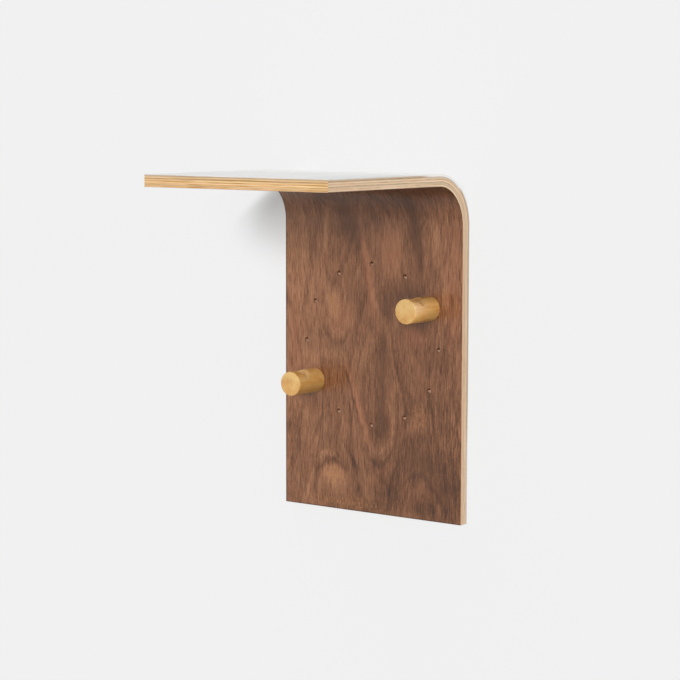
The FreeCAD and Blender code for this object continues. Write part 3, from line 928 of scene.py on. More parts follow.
@dataclass(frozen=True)
class PlyLayer(Finish):
    """One of the light sheets of the core, with its fibres one way or the other.

    The long side edges are pinkish, and the cut edges at the shelf's front and
    the panel's foot are yellower, with dark streaks. The three rows of lengths
    are how long its fibres, its broad patches and its dark streaks are: across,
    along and through the sheet.
    """

    name: str = "ply_layer"
    roughness: float = 0.55
    relief: float = 0.03
    side_colours: tuple[Colour, Colour, Colour] = (Colour.PLY_BUFF, Colour.PLY_CREAM, Colour.PLY_PALE)
    end_colours: tuple[Colour, Colour, Colour] = (Colour.PLY_END_DEEP, Colour.PLY_END, Colour.PLY_END_PALE)
    tone: PlyTone = PlyTone()
    lengths: tuple[tuple[float, ...], ...] = ((0.45, 30.0, 0.3), (26.0, 60.0, 0.9), (30.0, 60.0, 0.6))
    sheet: float = 1.2
    first: float = 0.8
    ramp_marks: tuple[float, ...] = (0.42, 0.55, 0.7)
    streaks: tuple[Stroke, ...] = (
        CrossStroke(-15.0, 3.5, 0.45, 32.0, 0.8),
        CrossStroke(50.0, 3.6, 0.4, 26.0, 0.8),
        CrossStroke(79.0, 3.9, 0.4, 6.0, 0.8),
        CrossStroke(-54.0, 5.4, 0.4, 12.0, 0.6),
        CrossStroke(106.0, 6.4, 0.4, 6.0, 0.8),
        CrossStroke(99.0, 8.7, 0.4, 14.0, 0.8),
        CrossStroke(-80.0, 9.8, 0.4, 34.0, 0.6),
        CrossStroke(-36.0, 10.1, 0.4, 18.0, 0.7),
        CrossStroke(27.0, 10.2, 0.4, 14.0, 0.7),
    )

    def hole_walls(self, desk: NodeDesk, place: SheetPlace, colour: Reading) -> Reading:
        """Colours the walls of the ring's holes: pale painted light, darkened by scorch and painted shade
        at the mouth and by painted shade along the top.

        Args:
            desk: the material's desk.
            place: the sheet's coordinates.
            colour: the ply's own colour.

        Returns:
            The colour with the holes' walls laid over it.
        """
        near = place.near_ring(desk)
        _, _, up = desk.facing()
        # Scorch and painted shade darken the mouth; painted shade darkens the walls that face down.
        scorch_and_shade = desk.highest(desk.remap(place.depth, 9.7, 10.9), desk.remap(up, 0.3, -0.3))
        # Painted light: the holes' walls take a pale colour, as if lit.
        colour = desk.tint(near, colour, Colour.HOLE_PAINTED_LIGHT)
        return desk.tint(near * scorch_and_shade * HOLE_SCORCH_AND_SHADE, colour, Colour.HOLE_DARK)

    def make(self) -> bpy.types.Material:
        """Makes the ply.

        Returns:
            The material.
        """
        material, desk, shader = self.start()
        place = SheetPlace(desk)
        fibres, broads, streaks = self.lengths
        fibre = desk.noise(place.parts, fibres, 2.0, 0.6)
        broad = desk.noise(place.parts, broads, 2.0)
        level = fibre * 0.4 + broad * 0.7
        sides = desk.ramp(level, list(zip(self.ramp_marks, self.side_colours)))
        ends = desk.ramp(level, list(zip(self.ramp_marks, self.end_colours)))
        streak = desk.remap(desk.noise(place.parts, streaks, 1.0), 0.57, 0.67, 0.0, 0.5)
        placed = SoftSpots(desk, place.across, place.depth).sum(self.streaks)
        placed *= desk.remap(fibre, 0.3, 0.6, 0.5, 1.0)
        ends = desk.tint(desk.highest(streak, placed), ends, Colour.PLY_STREAK)
        blush = desk.remap(desk.noise(place.parts, (34.0, 34.0, 1.0), 1.0), 0.45, 0.65, 0.0, 0.4)
        sides, ends = (desk.tint(blush, part, Colour.PLY_BLUSH) for part in (sides, ends))
        sides, ends = desk.shade(sides, self.tone.side), desk.shade(ends, self.tone.end)
        warm = desk.remap(place.depth, 7.0, 11.5, 0.0, 0.6) * desk.remap(place.along, 20.0, -20.0)
        sides = desk.tint(warm, sides, Colour.PLY_WARM)
        sides, ends = (desk.tint(self.tone.grey, part, Colour.LAMINATE_CUT) for part in (sides, ends))
        aside, _, _ = desk.facing()
        on_side = desk.math("GREATER_THAN", abs(aside), 0.5)
        colour = desk.tint(on_side, ends, sides)
        step = desk.math("FRACT", (place.depth - self.first) / self.sheet)
        glue = desk.remap(abs(step - 0.5), 0.38, 0.5, 0.0, 0.4)
        colour = desk.tint(glue, colour, Colour.PLY_GLUE)
        on_bend = desk.remap(place.along, 30.0, 38.0) * desk.remap(place.along, 100.0, 78.0)
        colour = desk.shade(colour, desk.remap(on_bend * on_side, 0.0, 1.0, 1.0, self.tone.bend))
        # Painted highlight: the outer plies' sides whiten on the bend; they are also whiter at the foot.
        white = desk.highest(on_bend, desk.remap(place.along, -190.0, -225.0, 0.0, 0.45)) * on_side
        colour = desk.tint(white * self.tone.white, colour, Colour.LAMINATE_HIGHLIGHT)
        colour = self.hole_walls(desk, place, colour)
        desk.feed(shader.inputs["Base Color"], colour)
        self.emboss(desk, shader, fibre - glue)
        return material


@dataclass(frozen=True)
class WhiteLaminate(Finish):
    """Matt white laminate, with painted light beside the bend, painted shade that greys it unevenly further
    out on the shelf, and an edge that a painted highlight whitens on the bend, and that is whiter at the
    foot.
    """

    name: str = "white_laminate"
    roughness: float = 0.42
    relief: float = 0.006
    skin: float = 0.16
    skin_fade: float = 0.08

    def make(self) -> bpy.types.Material:
        """Makes the laminate.

        Returns:
            The material.
        """
        material, desk, shader = self.start()
        place = SheetPlace(desk)
        along = place.along
        peel = desk.noise(place.parts, (1.6, 1.6, 1.6), 2.0)
        soil = desk.noise(place.parts, (60.0, 80.0, 60.0), 3.0)
        # Painted shade: the top greys further out on the shelf and towards its right side, unevenly with
        # the soil clouds.
        grey = desk.remap(soil, 0.35, 0.7, 0.15, 0.75) + desk.remap(place.across, 50.0, 100.0, 0.0, 0.55)
        # Painted light: the top is brighter next to the bend.
        bend_painted_light = desk.remap(along, 118.0, 92.0, 0.0, 0.45)
        white = desk.tint(bend_painted_light, Colour.LAMINATE_WHITE, Colour.LAMINATE_HIGHLIGHT)
        white = desk.tint(desk.remap(along, 96.0, 132.0) * grey, white, Colour.LAMINATE_SHADE)
        inside = desk.remap(place.depth, self.skin, self.skin + self.skin_fade)
        desk.feed(shader.inputs["Base Color"], desk.tint(inside, white, self.cut_edge(desk, place)))
        self.polish(desk, shader, peel, (0.3, 0.7), (-0.03, 0.04))
        self.emboss(desk, shader, peel)
        return material

    def cut_edge(self, desk: NodeDesk, place: SheetPlace) -> Reading:
        """Colours the laminate's cut edge: darkened by painted shade on the panel, duller on the shelf and
        the front, whitened by a painted highlight on the bend, whiter at the foot, and white elsewhere.

        Args:
            desk: the material's desk.
            place: the sheet's coordinates.

        Returns:
            The edge's colour.
        """
        along = place.along
        paper = desk.noise(place.parts, (9.0, 9.0, 0.12), 2.0)
        core = desk.shade(Colour.LAMINATE_CORE, desk.remap(paper, 0.3, 0.7, 0.85, 1.2))
        # Painted highlight: the edge whitens on the bend, and it is whiter towards the foot.
        bright = desk.remap(along, 28.0, 38.0) * desk.remap(along, 130.0, 78.0)
        bright = desk.highest(bright, desk.remap(along, -190.0, -225.0, 0.0, 0.6))
        core = desk.tint(bright, core, Colour.LAMINATE_HIGHLIGHT)
        aside, _, _ = desk.facing()
        on_end = desk.math("LESS_THAN", abs(aside), 0.5)
        shelf = desk.remap(along, 96.0, 140.0, 0.0, 0.26)
        # Painted shade darkens the edge on the panel, where it meets the wall.
        panel = desk.remap(along, 40.0, 22.0) * desk.remap(along, -205.0, -165.0, 0.0, 0.85)
        front = on_end * desk.remap(place.across, -20.0, -90.0, 0.66, 1.0)
        return desk.tint(desk.highest(shelf + panel, front), core, Colour.LAMINATE_CUT)


@dataclass(frozen=True)
class HoneyWood(Finish):
    """Lacquered light wood, with its fibres along the peg.

    The pith is the middle of the rings, side to side and upwards. The tones are
    painted light and shade that lighten or darken the peg's front, rear, top,
    underside, rim and end, and the last field is how strong a pink painted
    reflection is on its side towards the front.
    """

    name: str = "honey_peg_wood"
    roughness: float = 0.27
    relief: float = 0.02
    ring_width: float = 2.3
    pith: tuple[float, float] = (12.0, -118.0)
    axis_height: float = -60.05
    length: tuple[float, float] = (-52.0, -14.0)
    ramp_marks: tuple[float, ...] = (0.3, 0.58, 0.85)
    painted_side: float = 0.92
    painted_end: float = 0.87
    painted_front: float = 1.12
    painted_rear: float = 0.92
    painted_rim: float = 0.82
    painted_top: float = 0.85
    painted_under: float = 1.08
    painted_under_rear: float = 0.78
    painted_reflection: float = 0.4

    def make(self) -> bpy.types.Material:
        """Makes the peg wood.

        Returns:
            The material.
        """
        material, desk, shader = self.start()
        place = x, y, z = desk.places()
        sway = desk.noise(place, (11.0, 60.0, 11.0), 1.0)
        reach = desk.reach(x - self.pith[0], z - self.pith[1])
        year = desk.math("FRACT", reach / self.ring_width + sway * 1.6)
        late = desk.remap(year, 0.3, 0.95) * desk.remap(year, 1.0, 0.95)
        fibre = desk.noise(place, (0.6, 22.0, 0.6), 3.0, 0.6)
        cloud = desk.noise(place, (9.0, 30.0, 9.0), 2.0)
        level = fibre * 0.5 + cloud * 0.7 - late * 0.09
        shades = (Colour.HONEY_DEEP, Colour.HONEY, Colour.HONEY_PALE)
        colour = desk.ramp(level, list(zip(self.ramp_marks, shades)))
        fleck = desk.remap(desk.noise(place, (0.4, 2.6, 0.9), 1.0), 0.66, 0.78, 0.0, 0.4)
        colour = desk.tint(fleck, colour, Colour.HONEY_DEEP)

        _, forwards, _ = desk.facing()
        on_end = desk.remap(abs(forwards), 0.8, 0.95)
        height = z - self.axis_height
        gold = on_end * desk.remap(height, -2.0, 8.0, 0.0, 0.42)
        colour = desk.tint(gold, colour, Colour.HONEY_GOLD)
        # Painted reflection: a pink sheen on the side's upper part towards the front, none on the end.
        painted_reflection = desk.remap(height, -8.0, 3.0) * desk.remap(y, -22.0, -44.0, 0.0, self.painted_reflection)
        painted_reflection *= 1.0 - on_end
        colour = desk.tint(painted_reflection * desk.remap(cloud, 0.3, 0.6, 0.5, 1.0), colour, Colour.HONEY_PAINTED_REFLECTION)

        # Painted light and shade set the level of each part: the side's front and rear, its top, its
        # underside, the rim and the end face.
        side = desk.remap(y, *self.length, self.painted_front, self.painted_rear) * self.painted_side
        side *= desk.remap(height, 5.0, 10.5, 1.0, self.painted_top)
        under = desk.remap(y, *self.length, self.painted_under, self.painted_under * self.painted_under_rear)
        side *= desk.remap(height, 2.0, -6.0, 1.0, under)
        side *= desk.remap(abs(forwards), 0.1, 0.4, 1.0, self.painted_rim)
        tone = side + on_end * (self.painted_end - side)
        desk.feed(shader.inputs["Base Color"], desk.shade(colour, tone))
        self.polish(desk, shader, fibre, (0.3, 0.7), (0.05, -0.05))
        self.emboss(desk, shader, fibre - fleck)
        return material


@dataclass(frozen=True)
class PlainMetal(Finish):
    """Small steel and zinc parts, with fine brushing and dull patches."""

    name: str = "metal"
    roughness: float = 0.32
    metallic: float = 1.0
    relief: float = 0.004
    bright: Colour = Colour.STEEL
    dull: Colour = Colour.STEEL_DARK
    patch: float = 3.0

    def make(self) -> bpy.types.Material:
        """Makes the metal.

        Returns:
            The material.
        """
        material, desk, shader = self.start()
        place = desk.places()
        crystals = desk.add("ShaderNodeTexVoronoi")
        desk.feed(crystals.inputs["Vector"], desk.stretch(place, (self.patch,) * 3))
        crystals.inputs["Scale"].default_value = 1.0
        brush = desk.noise(place, (0.2, 0.2, 5.0), 2.0)
        crystal, _, _ = desk.split(crystals.outputs["Color"])
        level = crystal * 0.5 + brush * 0.5
        desk.feed(shader.inputs["Base Color"], desk.ramp(level, [(0.2, self.dull), (0.75, self.bright)]))
        self.polish(desk, shader, level, (0.2, 0.8), (0.12, -0.06))
        self.emboss(desk, shader, brush)
        return material


class Workshop:
    """Steps that every new piece goes through.

    Points closer than the merge distance become one. An edge stays sharp where
    its faces turn by more than the crease, in degrees.
    """

    MERGE = 0.002
    CREASE = 32.0

    @staticmethod
    def finish_mesh(shape: bmesh.types.BMesh) -> None:
        """Merges doubles, turns the faces outwards, and keeps sharp corners sharp.

        Args:
            shape: the mesh.
        """
        bmesh.ops.remove_doubles(shape, verts=shape.verts, dist=Workshop.MERGE * MM)
        bmesh.ops.recalc_face_normals(shape, faces=shape.faces)
        for face in shape.faces:
            face.smooth = True
        for edge in shape.edges:
            edge.smooth = edge.is_manifold and edge.calc_face_angle(0.0) < math.radians(Workshop.CREASE)

    @staticmethod
    def piece(name: str, shape: bmesh.types.BMesh, finish: bpy.types.Material) -> bpy.types.Object:
        """Turns a finished mesh into an object at the origin.

        Args:
            name: the piece's name.
            shape: the mesh, which is freed.
            finish: its material.

        Returns:
            The object.
        """
        mesh = bpy.data.meshes.new(name)
        shape.to_mesh(mesh)
        shape.free()
        mesh.materials.append(finish)
        made = bpy.data.objects.new(name, mesh)
        bpy.context.scene.collection.objects.link(made)
        return made

    @staticmethod
    def dress(node: str, finish: bpy.types.Material) -> None:
        """Gives a carried-over solid its material.

        Args:
            node: the solid's name.
            finish: its material.
        """
        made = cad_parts[node]
        if not made.material_slots:
            made.data.materials.append(finish)
        for slot in made.material_slots:
            slot.material = finish


class Opening(NamedTuple):
    """A round opening in a skin, or a long one whose halves are moved apart by its rise."""

    x: float
    z: float
    radius: float
    rise: float = 0.0


@dataclass
class BentSkin:
    """A thin skin that follows the panel, the bend and the shelf.

    The face is the side that shows, and the back lies against the core. The
    lead is a short straight strip on either side of the bend.
    """

    name: str
    face_depth: float
    thickness: float
    half_width: float = 110.0
    bend_back: float = SheetPlace.BEND_BACK
    bend_height: float = SheetPlace.BEND_HEIGHT
    panel_foot: float = -274.8
    shelf_front: float = -232.0
    lead: float = 1.0
    bend_steps: int = 36
    opening_steps: int = 40

    def outline(self, shape: bmesh.types.BMesh) -> list[bmesh.types.BMEdge]:
        """Draws the flat panel's four sides, up to just under the bend.

        Args:
            shape: the mesh to draw in.

        Returns:
            The four edges, the top one first.
        """
        y = -self.face_depth * MM
        top, foot, side = (self.bend_height - self.lead) * MM, self.panel_foot * MM, self.half_width * MM
        places = ((-side, y, top), (side, y, top), (side, y, foot), (-side, y, foot))
        corners = [shape.verts.new(place) for place in places]
        return [shape.edges.new(pair) for pair in zip(corners, (*corners[1:], corners[0]))]

    def rim(self, shape: bmesh.types.BMesh, opening: Opening) -> list[bmesh.types.BMEdge]:
        """Draws an opening's rim.

        Args:
            shape: the mesh to draw in.
            opening: the opening.

        Returns:
            Its edges.
        """
        x, z, radius, rise = (size * MM for size in opening)
        half_step = Matrix.Rotation(math.pi / self.opening_steps, 4, "Z")
        turn = Matrix.Rotation(math.pi / 2, 4, "X") @ half_step
        place = Matrix.Translation((x, -self.face_depth * MM, z)) @ turn
        verts = bmesh.ops.create_circle(
            shape, cap_ends=False, radius=radius, segments=self.opening_steps, matrix=place)["verts"]
        for sign in (1, -1):
            half = [v for v in verts if sign * (v.co.z - z) > 0]
            bmesh.ops.translate(shape, verts=half, vec=(0, 0, sign * rise / 2))
        return list(dict.fromkeys(edge for vert in verts for edge in vert.link_edges))

    def flat(self, shape: bmesh.types.BMesh, openings: list[Opening]) -> bmesh.types.BMEdge:
        """Fills the panel's face around its openings.

        Args:
            shape: the mesh.
            openings: the openings.

        Returns:
            The top edge.
        """
        sides = self.outline(shape)
        rims = [edge for opening in openings for edge in self.rim(shape, opening)]
        bmesh.ops.triangle_fill(shape, use_beauty=True, edges=sides + rims, normal=(0, -1, 0))
        return sides[0]

    def carry(self, shape: bmesh.types.BMesh, edge: bmesh.types.BMEdge, step: Vector) -> bmesh.types.BMEdge:
        """Draws a strip from an edge.

        Args:
            shape: the mesh.
            edge: the edge to start from.
            step: how far to draw it, in metres.

        Returns:
            The far edge.
        """
        made = bmesh.ops.extrude_edge_only(shape, edges=[edge])["geom"]
        verts = [g for g in made if isinstance(g, bmesh.types.BMVert)]
        bmesh.ops.translate(shape, verts=verts, vec=step)
        return next(g for g in made if isinstance(g, bmesh.types.BMEdge) and set(g.verts) == set(verts))

    def build(self, finish: bpy.types.Material, openings: list[Opening]) -> bpy.types.Object:
        """Makes the skin.

        Args:
            finish: its material.
            openings: the openings in the panel.

        Returns:
            The piece.
        """
        shape = bmesh.new()
        edge = self.flat(shape, openings)
        edge = self.carry(shape, edge, Vector((0, 0, self.lead * MM)))
        hinge = Vector((0, -self.bend_back * MM, self.bend_height * MM))
        made = bmesh.ops.spin(
            shape, geom=[edge, *edge.verts], cent=hinge, axis=(1, 0, 0),
            angle=math.pi / 2, steps=self.bend_steps)["geom_last"]
        edge = next(g for g in made if isinstance(g, bmesh.types.BMEdge))
        edge = self.carry(shape, edge, Vector((0, -self.lead * MM, 0)))
        reach = (self.shelf_front + self.bend_back + self.lead) * MM
        self.carry(shape, edge, Vector((0, reach, 0)))
        bmesh.ops.recalc_face_normals(shape, faces=shape.faces)
        self.face_out(shape)
        bmesh.ops.solidify(shape, geom=shape.faces[:], thickness=self.thickness * MM)
        Workshop.finish_mesh(shape)
        return Workshop.piece(self.name, shape, finish)

    def face_out(self, shape: bmesh.types.BMesh) -> None:
        """Turns the sheet's faces towards the side that shows.

        Args:
            shape: the open sheet.
        """
        shape.normal_update()
        below = [face for face in shape.faces if face.calc_center_median().z < 0]
        panel = max(below, key=lambda face: face.calc_area())
        shows_front = self.face_depth > self.thickness
        if (panel.normal.y < 0) is not shows_front:
            bmesh.ops.reverse_faces(shape, faces=shape.faces)


@dataclass
class BentPanel:
    """The form-bent board: laminate, nine plies and the walnut face."""

    ply_tones: tuple[PlyTone, ...] = (
        PlyTone(0.8, 0.9, grey=0.4, white=1.0),
        PlyTone(0.74, 0.88, white=0.4),
        PlyTone(1.08, 0.86, bend=0.82),
        PlyTone(1.05, 0.95),
        PlyTone(1.03, 1.2, bend=1.12),
        PlyTone(0.9, 0.98, bend=1.05),
        PlyTone(0.91, 1.22, bend=0.86),
        PlyTone(1.17, 0.8, bend=0.92),
        PlyTone(1.0, 1.2, bend=1.1),
    )
    ring_height: float = SheetPlace.RING_HEIGHT
    ring_radius: float = SheetPlace.RING_RADIUS
    hole_radius: float = 2.5
    holes: int = 12
    hanger_side: float = 80.0
    hanger_height: float = -4.5
    hanger_radius: float = 8.1
    hanger_rise: float = 29.0
    face_depth: float = 12.2
    face_thickness: float = 0.6
    laminate_thickness: float = 0.8

    def ring_hole(self, hour: int) -> Opening:
        """Places one of the ring's holes.

        Args:
            hour: which one, clockwise from the top.

        Returns:
            The opening.
        """
        turn = 2 * math.pi * hour / self.holes
        x, rise = self.ring_radius * math.sin(turn), self.ring_radius * math.cos(turn)
        return Opening(x, self.ring_height + rise, self.hole_radius)

    def hanger_opening(self, side: int) -> Opening:
        """The long opening that a hanger plate lies in: side is -1 on the left and 1 on the right."""
        return Opening(side * self.hanger_side, self.hanger_height, self.hanger_radius, self.hanger_rise)

    def ply(self, number: int, tone: PlyTone) -> PlyLayer:
        """Gives one ply its finish: odd plies run with the bend, even ones across it.

        Args:
            number: the ply's number, counted from the laminate.
            tone: how its edges stand out.

        Returns:
            The finish.
        """
        if number % 2:
            return PlyLayer(name=f"ply_{number}_with_the_bend", tone=tone)
        return PlyLayer(
            name=f"ply_{number}_across_the_bend", tone=tone,
            lengths=((24.0, 0.45, 0.35), (45.0, 9.0, 0.9), (38.0, 1.2, 0.45)),
            side_colours=(Colour.PLY_SHADE, Colour.PLY_TAN, Colour.PLY_BUFF),
            end_colours=(Colour.PLY_LONG_DEEP, Colour.PLY_LONG, Colour.PLY_LONG_PALE))

    def build(self) -> None:
        """Makes both skins and dresses the plies."""
        face = BentSkin("walnut_face", self.face_depth, self.face_thickness)
        walnut = face.build(WalnutFace().make(), [self.ring_hole(hour) for hour in range(self.holes)])
        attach(walnut, "panel")
        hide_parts("walnut_veneer")
        skin = BentSkin("laminate_skin", 0.0, self.laminate_thickness)
        laminate = skin.build(WhiteLaminate().make(), [self.hanger_opening(side) for side in (-1, 1)])
        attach(laminate, "panel")
        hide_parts("outer_laminate")
        log.info("skins: %s and %s", walnut.name, laminate.name)
        for number, tone in enumerate(self.ply_tones, start=1):
            Workshop.dress(f"core_ply_{number}", self.ply(number, tone).make())
        log.info("plies: %d dressed", len(self.ply_tones))


@dataclass
class NotchedPeg:
    """A turned peg with a notch across its top, and the pin that holds it.

    Rear, front and the like are places along y. The notch's floor and root are
    measured from the peg's axis, and its tool is wider than the peg. The rim
    turn and the slacks say which edges lie on the notch's rim.
    """

    name: str
    x: float
    z: float
    radius: float = 12.5
    rear: float = -12.4
    front: float = -54.4
    rim: float = 0.8
    rear_chamfer: float = 0.4
    bore_radius: float = 2.5
    bore_end: float = -32.6
    notch_y: float = -38.9
    notch_floor: float = 5.0
    notch_root: float = 1.0
    notch_rise: float = 14.0
    notch_reach: float = 11.0
    notch_soften: float = 0.3
    tool_reach: float = 20.0
    rim_turn: float = 20.0
    rim_slack: float = 0.2
    floor_slack: float = 0.5
    cut_merge: float = 0.01
    stem_reach: float = 12.0
    pin_radius: float = 2.45
    pin_chamfer: float = 0.5
    pin_front: float = -32.4
    pin_rear: float = -3.5
    steps: int = 96
    pin_steps: int = 40
    rim_steps: int = 6

    def turned(self, profile: list[tuple[float, float]], steps: int) -> bmesh.types.BMesh:
        """Turns a profile about the peg's axis.

        Args:
            profile: radius and y of each point, from the axis to the axis.
            steps: how many sides the round has.

        Returns:
            The closed shape.
        """
        shape = bmesh.new()
        points = [shape.verts.new(((self.x + r) * MM, y * MM, self.z * MM)) for r, y in profile]
        edges = [shape.edges.new(pair) for pair in zip(points, points[1:])]
        axis = Vector((self.x * MM, 0, self.z * MM))
        bmesh.ops.spin(
            shape, geom=points + edges, cent=axis, axis=(0, 1, 0),
            angle=2 * math.pi, steps=steps, use_merge=True)
        Workshop.finish_mesh(shape)
        return shape

    def body_profile(self) -> list[tuple[float, float]]:
        """The peg's half section, from the bore's end round to the front's middle.

        Returns:
            The points, as radius and y.
        """
        turns = [math.pi / 2 * i / self.rim_steps for i in range(self.rim_steps + 1)]
        core, start = self.radius - self.rim, self.front + self.rim
        rim = [(core + self.rim * math.cos(t), start - self.rim * math.sin(t)) for t in turns]
        stem = [(self.radius, self.notch_y + step * self.stem_reach) for step in (1, 0, -1)]
        return [
            (0.0, self.bore_end), (self.bore_radius, self.bore_end), (self.bore_radius, self.rear),
            (self.radius - self.rear_chamfer, self.rear), (self.radius, self.rear - self.rear_chamfer),
            *stem, *rim, (core * 0.5, self.front), (0.0, self.front)]

    def notch_tool(self) -> bpy.types.Object:
        """Makes the V with a rounded root that is cut from the peg's top.

        Returns:
            A throwaway object.
        """
        shape = bmesh.new()
        centre = self.notch_floor + self.notch_root
        turns = [math.radians(a) for a in range(-135, -44, 15)]
        root = [
            (self.notch_y + self.notch_root * math.cos(t), centre + self.notch_root * math.sin(t))
            for t in turns]
        rise = self.notch_rise
        outline = [
            (root[0][0] - rise, root[0][1] + rise), *root, (root[-1][0] + rise, root[-1][1] + rise)]
        left = (self.x - self.tool_reach) * MM
        face = shape.faces.new([shape.verts.new((left, y * MM, (self.z + z) * MM)) for y, z in outline])
        made = bmesh.ops.extrude_face_region(shape, geom=[face])["geom"]
        verts = [g for g in made if isinstance(g, bmesh.types.BMVert)]
        bmesh.ops.translate(shape, verts=verts, vec=(2 * self.tool_reach * MM, 0, 0))
        bmesh.ops.recalc_face_normals(shape, faces=shape.faces)
        mesh = bpy.data.meshes.new("notch_tool")
        shape.to_mesh(mesh)
        shape.free()
        tool = bpy.data.objects.new("notch_tool", mesh)
        bpy.context.scene.collection.objects.link(tool)
        return tool

    def cut_notch(self, blank: bmesh.types.BMesh, wood: bpy.types.Material) -> bpy.types.Object:
        """Cuts the notch and softens its edges.

        Args:
            blank: the turned peg.
            wood: the peg's material.

        Returns:
            The peg.
        """
        whole = Workshop.piece(f"{self.name}_blank", blank, wood)
        tool = self.notch_tool()
        cut = whole.modifiers.new("notch", "BOOLEAN")
        cut.operation = "DIFFERENCE"
        cut.solver = "EXACT"
        cut.object = tool
        bpy.context.view_layer.update()
        shape = bmesh.new()
        shape.from_object(whole, bpy.context.evaluated_depsgraph_get())
        for spare in (whole, tool):
            bpy.data.objects.remove(spare)
        bmesh.ops.remove_doubles(shape, verts=shape.verts, dist=self.cut_merge * MM)
        bmesh.ops.recalc_face_normals(shape, faces=shape.faces)
        rims = [edge for edge in shape.edges if self.on_notch_rim(edge)]
        bmesh.ops.bevel(
            shape, geom=rims, offset=self.notch_soften * MM, offset_type="OFFSET", segments=3,
            profile=0.5, affect="EDGES", clamp_overlap=True, material=-1)
        Workshop.finish_mesh(shape)
        return Workshop.piece(self.name, shape, wood)

    def on_notch_rim(self, edge: bmesh.types.BMEdge) -> bool:
        """Tells whether an edge lies where the notch meets the peg's round.

        Args:
            edge: the edge.

        Returns:
            True for an edge of the notch's rim.
        """
        if not edge.is_manifold or edge.calc_face_angle(0.0) < math.radians(self.rim_turn):
            return False
        x, y, z = (edge.verts[0].co + edge.verts[1].co) / 2 / MM
        inside = abs(y - self.notch_y) < self.notch_reach
        on_round = math.hypot(x - self.x, z - self.z) > self.radius - self.rim_slack
        return inside and on_round and z > self.z + self.notch_floor - self.floor_slack

    def build(self, wood: bpy.types.Material, steel: bpy.types.Material) -> None:
        """Makes the peg and its pin.

        Args:
            wood: the peg's material.
            steel: the pin's material.
        """
        peg = self.cut_notch(self.turned(self.body_profile(), self.steps), wood)
        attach(peg, self.name)
        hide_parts(self.name)
        wide, slim = self.pin_radius, self.pin_radius - self.pin_chamfer
        rear, front = self.pin_rear, self.pin_front
        profile = [
            (0.0, rear), (slim, rear), (wide, rear - self.pin_chamfer),
            (wide, front + self.pin_chamfer), (slim, front), (0.0, front)]
        pin = Workshop.piece(f"{self.name}_dowel_pin", self.turned(profile, self.pin_steps), steel)
        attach(pin, self.name.replace("peg", "pin"))
        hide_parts(f"{self.name}_pin")
        log.info("peg: %s with %d faces, and its pin", peg.name, len(peg.data.polygons))


@dataclass
class KeyholeHangers:
    """The two hanger plates in the back, and their screws."""

    sides: tuple[str, ...] = ("left", "right")

    def build(self) -> None:
        """Dresses the plates and the screws."""
        zinc = PlainMetal(
            name="zinc_plate", roughness=0.36, bright=Colour.ZINC, dull=Colour.ZINC_DULL, patch=2.6).make()
        screw = PlainMetal(
            name="yellow_zinc_screw", roughness=0.3, bright=Colour.PASSIVATED,
            dull=Colour.PASSIVATED_DULL, patch=1.2).make()
        for side in self.sides:
            Workshop.dress(f"{side}_hanger_plate", zinc)
            Workshop.dress(f"{side}_hanger_screws", screw)
        log.info("hangers: %d dressed", len(self.sides))


class Sun(NamedTuple):
    """A soft sun lamp: its strength, its turn to the right, its height and its spread, in degrees."""

    name: str
    strength: float
    right: float
    up: float
    spread: float


